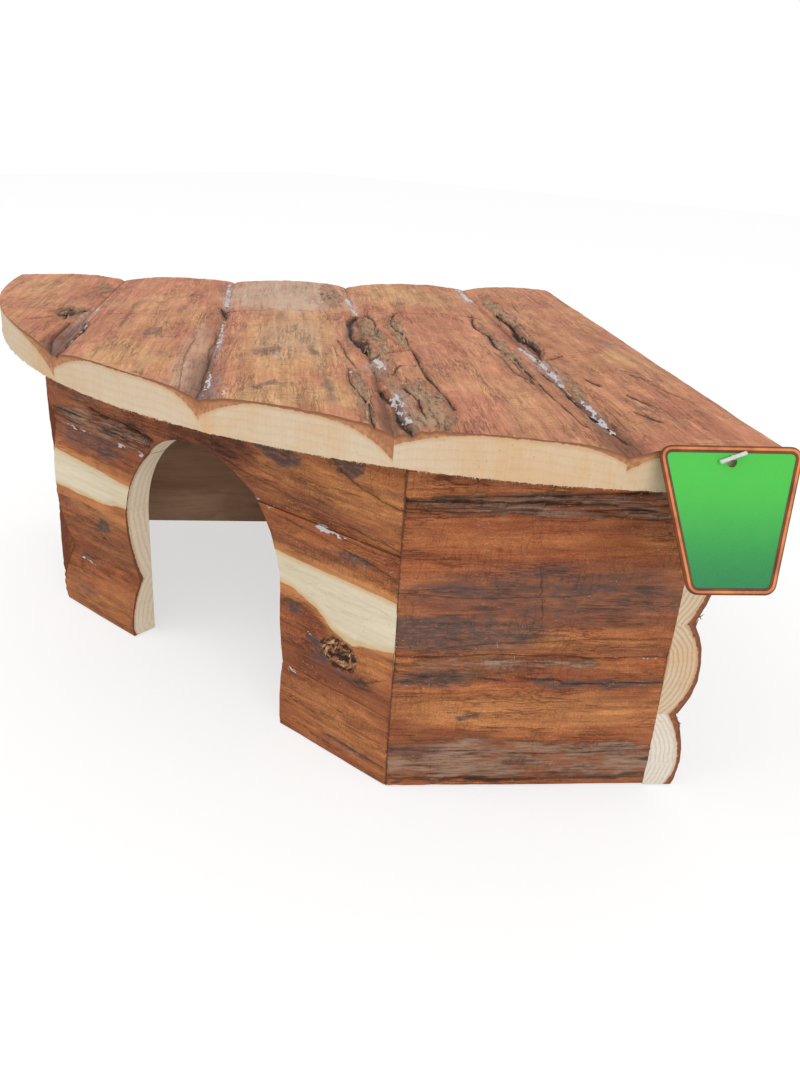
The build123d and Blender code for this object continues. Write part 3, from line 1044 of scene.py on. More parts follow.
def new_material(name, roughness=0.8):
    """A material with its Principled shader and the tree to build on."""
    material = bpy.data.materials.new(name)
    material.use_nodes = True
    tree = Tree(material.node_tree)
    shader = material.node_tree.nodes["Principled BSDF"]
    shader.inputs["Roughness"].default_value = roughness
    return material, tree, shader


BarkLook = namedtuple(
    "BarkLook", "main second streak flake flake_grain streaks contrast grit dust hair marks"
)


def masked(tree, ragged, name, low, high, bite):
    """A vertex value with a ragged border."""
    return tree.range(tree.shaken(name, ragged, bite), low, high)


def bark_fibres(tree, grain, fibres, look):
    """Patches of the bark's two colours with streaks and fibres over them."""
    wide = tree.group(blotches(), vector=grain, scale=38.0, low=0.40, high=0.62)["Mask"]
    small = tree.group(blotches(), vector=grain, scale=170.0, low=0.42, high=0.62)["Mask"]
    speck = tree.range(tree.noise(tree.stretch(grain, (0.7, 1, 1)), 2300.0, 4, 0.8), 0.28, 0.72)
    fleck = tree.range(tree.grained(grain, (170, 800, 800), 4, 0.7), 0.58, 0.70)
    ochre = tree.plus(tree.times(wide, 0.5), tree.value("ochre"), clamp=True)
    base = tree.mix(ochre, look.main, look.second)
    base = tree.mix(tree.times(tree.value("red"), 0.7), base, look.streak)
    base = tree.mix(tree.times(fibres["Broad"], look.streaks), base, look.streak)
    base = tree.tint(base, small, (0.93, 0.91, 0.91), (1.08, 1.10, 1.10))
    low, high = 1 - 0.30 * look.contrast, 1 + 0.24 * look.contrast
    base = tree.tint(base, fibres["Middling"], (low, low * 0.96, low * 0.97), (high, high, high * 0.97))
    base = tree.tint(base, fibres["Fine"], (0.86, 0.84, 0.86), (1.14, 1.15, 1.12))
    low, high = 1 - 0.30 * look.grit, 1 + 0.28 * look.grit
    base = tree.tint(base, speck, (low, low, low), (high, high, high * 0.96))
    base = tree.mix(tree.times(fleck, 0.45 * look.grit), base, tree.stretch(base, (0.45, 0.38, 0.40)))
    base = tree.mix(tree.times(fibres["Lines"], 0.60), base, tree.stretch(base, (0.34, 0.27, 0.26)))
    streaked = tree.plus(tree.times(fibres["Middling"], 0.55), 0.45)
    pale = tree.times(tree.range(tree.value("pale"), 0.0, 0.8), streaked)
    return tree.mix(tree.times(pale, 0.85), base, (0.56, 0.43, 0.32))


def bark_marks(tree, grain, base, ragged, colours, look):
    """Flakes of outer bark, stains and dark places, and how flaky it is."""
    torn = tree.grained(grain, look.flake_grain, 6, 0.78)
    flaky = masked(tree, ragged, "rough", 0.30, 0.62, 1.3)
    patch = tree.range(tree.grained(grain, (60, 210, 210), 4, 0.6), 0.46, 0.60)
    flake = tree.mix(tree.range(torn, 0.36, 0.58), colours.flake_dark, look.flake)
    own = tree.tint(look.main, torn, (0.5, 0.45, 0.45), (1.3, 1.3, 1.3))
    flake = tree.mix(tree.times(patch, 0.65), flake, own)
    # Painted shadow in the crevices between the flakes
    flake = tree.mix(tree.range(torn, 0.32, 0.42, 0.95, 0.0), flake, colours.hollow)
    base = tree.mix(tree.times(flaky, 0.85), base, flake)
    halo = tree.times(tree.range(tree.value("stain"), 0.05, 0.75), 0.60 * look.marks)
    base = tree.mix(halo, base, tree.tint(colours.stain, torn, (1.3, 1.1, 1.0), (3.0, 2.4, 1.9)))
    mottled = tree.range(tree.grained(grain, (240, 700, 700), 5, 0.75), 0.30, 0.56)
    stained = tree.times(masked(tree, ragged, "stain", 0.28, 0.72, 1.3), mottled)
    base = tree.mix(tree.times(stained, look.marks), base, colours.stain)
    # Dark marks, which the relief also sinks, take the same near-black painted shade as the hollows
    base = tree.mix(tree.times(masked(tree, ragged, "dark", 0.40, 0.90, 1.2), 0.70), base, colours.hollow)
    smear = tree.range(tree.grained(grain, (120, 700, 700), 5, 0.75), 0.40, 0.60)
    smear = tree.times(masked(tree, ragged, "film", 0.35, 0.80, 1.3), smear)
    base = tree.mix(tree.times(smear, 0.80), base, colours.film)
    return base, flaky


def bark_cracks(tree, grain, base, ragged, colours):
    """Cracks, which are ragged and broken, with painted shade in the line and beside it."""
    away = tree.math("ABSOLUTE", tree.shaken("crack_side", ragged, 1.9))
    broken = tree.range(tree.grained(grain, (60, 190, 190), 4, 0.6), 0.36, 0.60, 0.12, 1.0)
    width = tree.times(tree.value("crack_width"), broken)
    # Painted shade beside the crack darkens the bark round its line
    beside = tree.range(tree.minus(tree.times(width, 1.3), away), -0.7, 0.5)
    base = tree.mix(tree.times(beside, 0.40), base, tree.stretch(base, (0.42, 0.36, 0.36)))
    # Painted shade in the crack's line
    line = tree.range(tree.minus(tree.times(width, 0.42), away), -0.14, 0.12)
    line = tree.times(line, tree.range(tree.value("crack_width"), 0.1, 1.3, 0.35, 0.95))
    return tree.mix(line, base, colours.hollow), line


def bare_wood(tree, base, ragged, fibres, colours, look):
    """The stripe where the bark has come off, with a warm border on both sides, and how open it is."""
    border = tree.shaken("bare", ragged, 1.6)
    near = tree.times(tree.range(border, -3.6, -0.4), 0.85)
    warm = tree.tint(look.second, fibres["Middling"], (0.85, 0.80, 0.75), (1.25, 1.25, 1.2))
    base = tree.mix(near, base, warm)
    wood = tree.mix(tree.times(fibres["Broad"], 0.30), colours.bare, (0.62, 0.49, 0.31))
    wood = tree.tint(wood, fibres["Middling"], (0.93, 0.91, 0.87), (1.05, 1.05, 1.05))
    wood = tree.tint(wood, fibres["Fine"], (0.96, 0.95, 0.93), (1.03, 1.03, 1.03))
    wood = tree.mix(tree.range(border, 3.4, 0.2, 0.0, 0.70), wood, (0.62, 0.395, 0.175))
    opened = tree.range(border, -0.25, 0.45)
    return tree.mix(opened, base, wood), opened


def bark_material(name, colours, look):
    """Bark: patches and fibres, then the stains, flakes, cracks, bare wood and knot of each vertex."""
    material, tree, shader = new_material(name)
    grain = tree.value("grain", "Vector")
    fibres = tree.group(long_fibres(), vector=grain)
    ragged = tree.grained(grain, (150, 520, 520), 6, 0.72)
    base = bark_fibres(tree, grain, fibres, look)
    base, flaky = bark_marks(tree, grain, base, ragged, colours, look)
    hair = tree.group(fine_cracks(), vector=grain)["Mask"]
    base = tree.mix(tree.times(hair, look.hair), base, tree.stretch(base, (0.40, 0.32, 0.30)))
    # Painted shade where the relief sinks
    base = tree.mix(tree.times(tree.value("hollow"), 0.55), base, colours.hollow)
    base, line = bark_cracks(tree, grain, base, ragged, colours)
    base, opened = bare_wood(tree, base, ragged, fibres, colours, look)

    # The knot's hollow: patches of painted shade among torn wood of two tones
    chips = tree.grained(grain, (300, 480, 480), 5, 0.7, 0.5)
    torn = tree.mix(tree.range(chips, 0.46, 0.60), colours.hollow, (0.36, 0.145, 0.060))
    torn = tree.mix(tree.range(chips, 0.60, 0.68), torn, (0.60, 0.34, 0.19))
    base = tree.mix(tree.range(tree.value("knot"), 0.15, 0.7), base, torn)
    light = tree.group(specks(), vector=grain)["Mask"]
    base = tree.mix(tree.times(light, look.dust), base, (0.66, 0.42, 0.23))
    tree.put(shader.inputs["Base Color"], base)

    dull = tree.range(flaky, 0.0, 1.0, 0.72, 0.92)
    tree.put(shader.inputs["Roughness"], tree.mix(opened, dull, (0.62, 0.62, 0.62)))
    shader.inputs["Specular IOR Level"].default_value = 0.25
    height = tree.minus(fibres["Height"], tree.times(hair, 0.4 * look.hair))
    height = tree.plus(height, tree.times(tree.times(ragged, flaky), 1.0))
    height = tree.minus(height, tree.times(line, 0.6))
    height = tree.times(height, tree.range(opened, 0.0, 1.0, 1.0, 0.25))
    height = tree.plus(height, tree.times(light, 0.25 * look.dust))
    tree.put(shader.inputs["Normal"], tree.bump(height, 0.0012, 0.8))
    return material


EndLook = namedtuple("EndLook", "wood rings warm spacing bark_low bark_high red", defaults=(0,))


def end_material(name, colours, look):
    """Sawn ends: pale wood with rings, pores and saw marks, and the bark that is left round it."""
    material, tree, shader = new_material(name)
    grain = tree.value("grain", "Vector")
    rings = tree.group(growth_rings(), vector=grain, distance=tree.value("ring"), spacing=look.spacing)
    warm = tree.group(blotches(), vector=grain, scale=55.0, low=0.38, high=0.68)["Mask"]
    saw = tree.grained(grain, (1200, 1200, 90), 4, 0.65)
    warm = tree.times(warm, look.warm)
    warm = tree.plus(warm, tree.times(tree.value("red"), look.red))
    base = tree.mix(warm, look.wood, (0.63, 0.425, 0.250))
    base = tree.mix(tree.times(rings["Ring"], look.rings), base, colours.ring)
    base = tree.tint(base, tree.range(saw, 0.3, 0.7), (0.97, 0.96, 0.94), (1.02, 1.02, 1.02))
    base = tree.tint(base, tree.noise(grain, 2400.0, 3, 0.7), (0.88, 0.87, 0.84), (1.12, 1.12, 1.12))
    dots = tree.range(tree.voronoi(grain, 520.0), 0.05, 0.16, 1.0, 0.0)
    dots = tree.times(dots, tree.range(tree.noise(grain, 110.0, 3, 0.6), 0.50, 0.60))
    base = tree.mix(tree.times(dots, 0.45), base, (0.36, 0.21, 0.11))
    ragged = tree.noise(grain, 650.0, 4, 0.65)
    skin = tree.shaken("bark", ragged, 1.1)
    base = tree.mix(tree.range(skin, -1.6, -0.1, 0.0, 0.50), base, (0.52, 0.285, 0.140))
    bark = tree.mix(tree.range(ragged, 0.25, 0.75), look.bark_high, look.bark_low)
    bark = tree.mix(tree.range(skin, 1.2, 3.6, 0.0, 0.6), bark, look.bark_low)
    outer = tree.plus(tree.value("under"), tree.times(ragged, 1.4))
    bark = tree.mix(tree.range(outer, 0.9, 2.1, 0.75, 0.0), bark, (0.185, 0.068, 0.032))
    base = tree.mix(tree.range(skin, -0.12, 0.15), base, bark)
    tree.put(shader.inputs["Base Color"], base)
    shader.inputs["Specular IOR Level"].default_value = 0.25
    height = tree.plus(tree.times(saw, 0.6), tree.times(dots, -0.6))
    tree.put(shader.inputs["Normal"], tree.bump(height, 0.0004, 0.6))
    return material


def sawn_material(colours):
    """Flat sawn faces inside: dull brown with the grain along the board."""
    material, tree, shader = new_material("sawn face", 0.86)
    grain = tree.value("grain", "Vector")
    fibres = tree.group(long_fibres(), vector=grain)
    patches = tree.group(blotches(), vector=grain, scale=24.0)["Mask"]
    base = tree.tint(colours.sawn, patches, (0.86, 0.84, 0.82), (1.08, 1.10, 1.12))
    base = tree.tint(base, fibres["Broad"], (1.06, 1.06, 1.06), (0.82, 0.78, 0.74))
    base = tree.tint(base, fibres["Fine"], (0.92, 0.91, 0.90), (1.06, 1.06, 1.06))
    tree.put(shader.inputs["Base Color"], base)
    tree.put(shader.inputs["Normal"], tree.bump(fibres["Height"], 0.0005, 0.5))
    return material


def glue_material(colours):
    """Dried white glue, a little grey and glossy, with dirt in it."""
    material, tree, shader = new_material("dried glue", 0.42)
    place = tree.place()
    dirt = tree.group(blotches(), vector=place, scale=420.0, low=0.50, high=0.70)["Mask"]
    base = tree.mix(tree.times(dirt, 0.85), colours.glue, (0.42, 0.27, 0.22))
    tree.put(shader.inputs["Base Color"], base)
    shader.inputs["Transmission Weight"].default_value = 0.15
    lumps = tree.noise(place, 900.0, 3, 0.6)
    tree.put(shader.inputs["Roughness"], tree.range(lumps, 0.3, 0.7, 0.30, 0.62))
    tree.put(shader.inputs["Normal"], tree.bump(lumps, 0.0004, 0.6))
    return material


def splinter_material(name, dark, light):
    """Loose fibres, saw dust and torn wood."""
    material, tree, shader = new_material(name, 0.8)
    place = tree.place()
    tone = tree.range(tree.noise(place, 420.0, 3), 0.35, 0.65)
    tree.put(shader.inputs["Base Color"], tree.mix(tone, dark, light))
    tree.put(shader.inputs["Normal"], tree.bump(tree.noise(place, 3000.0, 2), 0.0001, 0.4))
    return material


def wood_materials(colours):
    """Bark, end and sawn finishes for the roof, the walls and the doorway wall, made once."""
    made = bpy.data.materials
    if "roof bark" not in made:
        roof = (colours.roof_bark, colours.roof_ochre, colours.roof_streak, colours.roof_flake)
        wall = (colours.wall_bark, colours.wall_ochre, colours.wall_streak, colours.wall_flake)
        look = BarkLook(*roof, (150, 560, 560), 0.38, 0.60, 0.80, 0.30, 0.45, 0.55)
        bark_material("roof bark", colours, look)
        look = BarkLook(*wall, (60, 800, 800), 0.50, 0.85, 1.10, 0.60, 0.30, 0.90)
        bark_material("wall bark", colours, look)
        roof_skin = ((0.33, 0.125, 0.055), (0.53, 0.270, 0.130))
        wall_skin = ((0.16, 0.050, 0.026), (0.34, 0.130, 0.060))
        jamb_skin = ((0.16, 0.050, 0.026), (0.30, 0.115, 0.052))
        end, clear, pale = colours.end_grain, colours.clear, (0.740, 0.690, 0.610)
        end_material("roof end grain", colours, EndLook(end, 0.12, 0.55, 0.0029, *roof_skin, 1.6))
        end_material("wall end grain", colours, EndLook(end, 0.62, 0.60, 0.0017, *wall_skin))
        end_material("pale end grain", colours, EndLook(pale, 0.35, 0.10, 0.0017, *wall_skin))
        # The jambs' wood is partly painted light: lighter than the other sawn ends
        end_material("jamb", colours, EndLook(clear, 0.22, 0.15, 0.0026, *jamb_skin))
        sawn_material(colours)
        glue_material(colours)
        splinter_material("splinters", (0.58, 0.40, 0.24), colours.end_grain)
        splinter_material("torn wood", (0.30, 0.110, 0.045), (0.68, 0.40, 0.22))
        splinter_material("bark strips", (0.30, 0.150, 0.080), (0.56, 0.36, 0.22))
        splinter_material("bark chips", (0.16, 0.055, 0.027), (0.38, 0.150, 0.070))
    return made


def slab_materials(colours, node):
    """Bark, end grain and sawn face of one slab."""
    made = wood_materials(colours)
    if node.startswith("roof"):
        bark, end = "roof bark", "roof end grain"
    else:
        end = "pale end grain" if node == "right_back_wall_lower" else "wall end grain"
        bark, end = "wall bark", "jamb" if node.startswith("doorway") else end
    return made[bark], made[end], made["sawn face"]


def settings(context):
    scene = context.scene
    return scene.house_sizes, scene.wood_colours, scene.tag_look, scene.studio_look


SLAB_LAYERS = 7


def grid_counts(long, wide, step):
    return max(2, round(long / step)), max(2, round(wide / step)), SLAB_LAYERS


def roof_place(sizes):
    """The roof's frame at the right corner, and the arc's centre in it."""
    left, _, corner_right, _, _ = plan_corners(sizes)
    origin = corner_right + Vector((0, 0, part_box("roof_plank_1")[0].z))
    behind = left.y - sizes.roof_overhang + sizes.roof_radius
    centre = Vector((-sizes.roof_skew, behind, origin.z)) - origin
    return Place(origin, TO_BACK, TO_RIGHT, Vector((0, 0, 1))), (centre.dot(TO_RIGHT), centre.dot(TO_BACK))


def roof_parts(sizes):
    """Section and shape of each roof slab, from the right to the left."""
    place, centre = roof_place(sizes)
    right = 0.0
    for slab, share, wood in reversed(ROOF_SLABS):
        left = right - sizes.side * share
        shape = RoofShape(slab.node, place, left, right, sizes, centre)
        yield Section(slab, left, right, sizes.roof_crown, wood), shape
        right = left


def walls(sizes):
    """The five walls by name, with where their bark and sawn faces end."""
    left, right, corner_right, corner_back, corner_left = plan_corners(sizes)
    slab = sizes.wall_slab
    mitre = slab * tan(radians(22.5))
    short = sizes.side - sizes.cut
    door = (right - left).length

    def wall(start, end, bark_ends, sawn_ends):
        return WallShape(wall_place(start, end, slab), bark_ends, sawn_ends, slab)

    return {
        "doorway": wall(left, right, (0, door), (mitre, door - mitre)),
        "right_short": wall(right, corner_right, (0, short - slab), (mitre, short - slab)),
        "right_back": wall(corner_right, corner_back, (0, sizes.side - slab), (0, sizes.side - slab)),
        "left_back": wall(corner_back, corner_left, (0, sizes.side), (0, sizes.side)),
        "left_short": wall(corner_left, left, (slab, short), (slab, short - mitre)),
    }


def wall_section(slab, sizes):
    """Section of a wall board as it was before the doorway was cut."""
    low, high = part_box(slab.node)
    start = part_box("doorway_middle_left")[1].z if slab.node == "doorway_top_board" else low.z
    return Section(slab, start, high.z, sizes.wall_slab, wall_wood(slab, sizes.wall_slab))


def build_wall(sizes, colours, wall, slabs, bark):
    """All boards of one wall."""
    for number, slab in enumerate(slabs):
        doorway = slab.node.startswith("doorway")
        side = -1 if slab.node.endswith("_left") else 1 if slab.node.endswith("_right") else 0
        shape = WallBoardShape(slab.node, wall, sizes if doorway else None, side if doorway else 0)
        low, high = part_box(slab.node)
        long = hypot(high.x - low.x, high.y - low.y)
        counts = grid_counts(long, shape.high - shape.low, sizes.step)
        make_board(
            wall_section(slab, sizes), bark, shape, counts, 0.31 * (number + 1),
            slab_materials(colours, slab.node), slab.node.startswith("doorway_middle"),
        )


def roof_bark(sizes):
    return Bark(ROOF_MARKS, ROOF_CRACKS, 1.7, sizes.relief)


def doorway_bark(sizes):
    return Bark(DOORWAY_MARKS, DOORWAY_CRACKS, 21.3, sizes.relief, 0.8)


def right_bark(sizes):
    return Bark(RIGHT_MARKS, RIGHT_CRACKS, 33.1, sizes.relief, 0.7)


class HOUSE_OT_roof(bpy.types.Operator):
    """Build the roof's five bark slabs, sawn to one arc in front"""

    bl_idname = "rodent_house.roof"
    bl_label = "Roof Slabs"

    def execute(self, context):
        sizes, colours, _, _ = settings(context)
        bark = roof_bark(sizes)
        for number, (section, shape) in enumerate(roof_parts(sizes)):
            span = sizes.side - min(shape.front(shape.left), shape.front(shape.right))
            counts = grid_counts(span, shape.right - shape.left, sizes.step)
            make_board(section, bark, shape, counts, 0.43 * number, slab_materials(colours, shape.node))
        return {"FINISHED"}


class HOUSE_OT_doorway_wall(bpy.types.Operator):
    """Build the doorway wall's boards, cut through by the arch"""

    bl_idname = "rodent_house.doorway_wall"
    bl_label = "Doorway Wall"

    def execute(self, context):
        sizes, colours, _, _ = settings(context)
        boards = DOORWAY_LEFT + DOORWAY_RIGHT[:2]       # the top board is in both
        build_wall(sizes, colours, walls(sizes)["doorway"], boards, doorway_bark(sizes))
        return {"FINISHED"}


class HOUSE_OT_side_walls(bpy.types.Operator):
    """Build the two short walls beside the doorway"""

    bl_idname = "rodent_house.side_walls"
    bl_label = "Short Walls"

    def execute(self, context):
        sizes, colours, _, _ = settings(context)
        found = walls(sizes)
        build_wall(sizes, colours, found["right_short"], RIGHT_SHORT_BOARDS, right_bark(sizes))
        left_bark = Bark(RIGHT_MARKS, RIGHT_CRACKS[5:], 47.9, sizes.relief, 0.8)
        build_wall(sizes, colours, found["left_short"], LEFT_SHORT_BOARDS, left_bark)
        return {"FINISHED"}


class HOUSE_OT_back_walls(bpy.types.Operator):
    """Build the two long walls that stand in the corner of the cage"""

    bl_idname = "rodent_house.back_walls"
    bl_label = "Back Walls"

    def execute(self, context):
        sizes, colours, _, _ = settings(context)
        found = walls(sizes)
        far = sizes.side / MM
        marked = DOORWAY_MARKS + turned_marks(RIGHT_MARKS, far)
        cracked = DOORWAY_CRACKS + turned_cracks(RIGHT_CRACKS[8:], far)
        bark = Bark(marked, cracked, 61.7, sizes.relief)
        build_wall(sizes, colours, found["right_back"], RIGHT_BACK_BOARDS, bark)
        marked = RIGHT_MARKS + turned_marks(DOORWAY_MARKS, far)
        cracked = RIGHT_CRACKS + turned_cracks(DOORWAY_CRACKS[4:8], far)
        bark = Bark(marked, cracked, 77.2, sizes.relief)
        build_wall(sizes, colours, found["left_back"], LEFT_BACK_BOARDS, bark)
        return {"FINISHED"}


# Glue

ROOF_GLUE = glue_runs(
    ((176, -229.5), (150, -228.5), (120, -227.5), (84, -228), 1.0),
    ((245, -175), (222, -173.5), (196, -172.5), (170, -172), 1.5),
    ((142, -171), (118, -170.5), (92, -170), 1.3),
    ((60, -170.5), (42, -170), (28.5, -170.5), 1.3),
    ((31, -163.5), (25, -164), 1.3),
    ((208, -113.5), (186, -112.5), (168, -111.5), 1.7),
    ((82, -110.5), (72, -109.5), (64, -109), 2.2),
    ((60, -121.5), (56, -121), 1.2),
    ((34, -109), (20, -108), (2, -107), 2.0),
    ((243, -51), (230, -50.5), (212, -50), 2.4),
    ((106, -48.5), (88, -47), (66, -46.5), (48, -47), 2.0),
    ((30, -45.5), (14, -45), (-2, -45), 1.6),
)
DOORWAY_GLUE = glue_runs(
    ((12, 90.4), (22, 90.4), (30, 90), 1.0),
    ((50, 90.6), (54, 90.4), 1.7),
    ((62, 90), (67, 90), 1.4),
    ((133, 91), (137, 89.8), (143, 89.6), 1.0),
    ((162, 89), (168, 89.4), (172, 88.8), (178, 88.6), 1.7),
    ((5, 26.4), (16, 26.8), (30, 26.2), 1.0),
    ((152, 26.6), (158, 26.2), 1.1),
    ((162.6, 48.2), (164.6, 47.2), 1.1),
)
RIGHT_GLUE = glue_runs(
    ((62, 53.6), (70, 53.8), (78, 53.4), 0.55),
    ((84, 53.5), (93, 53.2), 0.6),
    ((0.8, 111), (0.8, 113), 0.6),
    ((0.8, 57), (0.9, 61), 0.8),
    ((3, 51), (5, 51), 0.5),
)


def roof_ground(sizes):
    """A function that gives the height of the roof's bark above its underside, without the relief."""
    parts = list(roof_parts(sizes))

    def ground(along, across):
        section, shape = next((part for part in parts if across >= part[0].start), parts[-1])
        return section.thickness(max(across, section.start)) - shape.dip(along, across)

    return ground


def wall_ground(slabs, sizes):
    """A function that gives the height of a wall's bark above its sawn face, without the relief."""
    sections = [wall_section(slab, sizes) for slab in slabs]

    def ground(along, across):
        section = next((section for section in sections if across <= section.end), sections[-1])
        return section.thickness(across)

    return ground


LUMP_SPACING, SMALLEST_LUMP = 0.45, 0.18    # millimetres
GLUE_VOXEL = 0.00032


def glue_blobs(pile, place, runs, ground_at, bark, random):
    """Flattened lumps along each run, lying in the groove."""
    facing = Matrix((place.along, place.across, place.out)).transposed().to_4x4()
    for run in runs:
        for (a0, c0), (a1, c1) in zip(run.points, run.points[1:]):
            count = max(3, round(hypot(a1 - a0, c1 - c0) / LUMP_SPACING))
            for number in range(count):
                share = number / count
                along, across = a0 + (a1 - a0) * share, c0 + (c1 - c0) * share
                plenty = 0.85 + 0.8 * noise.noise(Vector((along / 5.0, across / 5.0, 6.0)))
                across += random.uniform(-0.6, 0.6) * run.size
                size = run.size * random.uniform(0.25, 0.80) * min(plenty, 1.2)
                if size < SMALLEST_LUMP:
                    continue
                ground = ground_at(along * MM, across * MM)
                lift = bark.height(along, across, bark.amounts(along, across), bark.crack(along, across))
                out = ground + max(lift, -0.8 * MM) + 0.02 * size * MM
                spot = Matrix.Translation(place.point(along * MM, across * MM, out))
                turn = facing @ Matrix.Rotation(random.uniform(-0.35, 0.35), 4, "Z")
                sides = (size * random.uniform(1.0, 2.8), size * random.uniform(0.35, 0.7), size * 0.26, 1)
                bmesh.ops.create_icosphere(
                    pile.next(), subdivisions=1, radius=MM, matrix=spot @ turn @ Matrix.Diagonal(sides)
                )


class HOUSE_OT_glue(bpy.types.Operator):
    """Build the dried glue that was squeezed out of the seams"""

    bl_idname = "rodent_house.glue"
    bl_label = "Glue"

    def execute(self, context):
        sizes, colours, _, _ = settings(context)
        wood_materials(colours)
        random = Random(12)
        door, side = (walls(sizes)[name].place for name in ("doorway", "right_short"))
        pile = Pile()
        glue_blobs(pile, roof_place(sizes)[0], ROOF_GLUE, roof_ground(sizes), roof_bark(sizes), random)
        finish_glue("roof_glue", pile.finish(), "roof_glue_beads")
        pile = Pile()
        glue_blobs(pile, door, DOORWAY_GLUE, wall_ground(DOORWAY_RIGHT, sizes), doorway_bark(sizes), random)
        glue_blobs(pile, side, RIGHT_GLUE, wall_ground(RIGHT_SHORT_BOARDS, sizes), right_bark(sizes), random)
        finish_glue("wall_glue", pile.finish(), "doorway_glue_beads")
        return {"FINISHED"}


def finish_glue(name, mesh, node):
    """Melts the lumps into one skin."""
    piece = finish_mesh(name, mesh, [bpy.data.materials["dried glue"]], HOUSE, (node,), pi)
    skin = piece.modifiers.new("skin", "REMESH")
    skin.mode = "VOXEL"
    skin.voxel_size = GLUE_VOXEL
    skin.use_smooth_shade = True


# Loose fibres. Lengths are in millimetres.

RIM_SPLINTERS, KNOT_SHARDS, SEAM_CHIPS = 1500, 34, 46
RIM_ARC = (188, 274.5)                      # degrees round the roof's arc, from the left to the right
FIBRES = (("right_short", 240, (2, 94), (2, 118)), ("doorway", 130, (150, 200), (4, 122)))
STRIP_MARGIN = 12                           # how far slivers of bark stay from the roof's edges
STRIP_AREA = 9                              # how much of a rough mark there is to each sliver


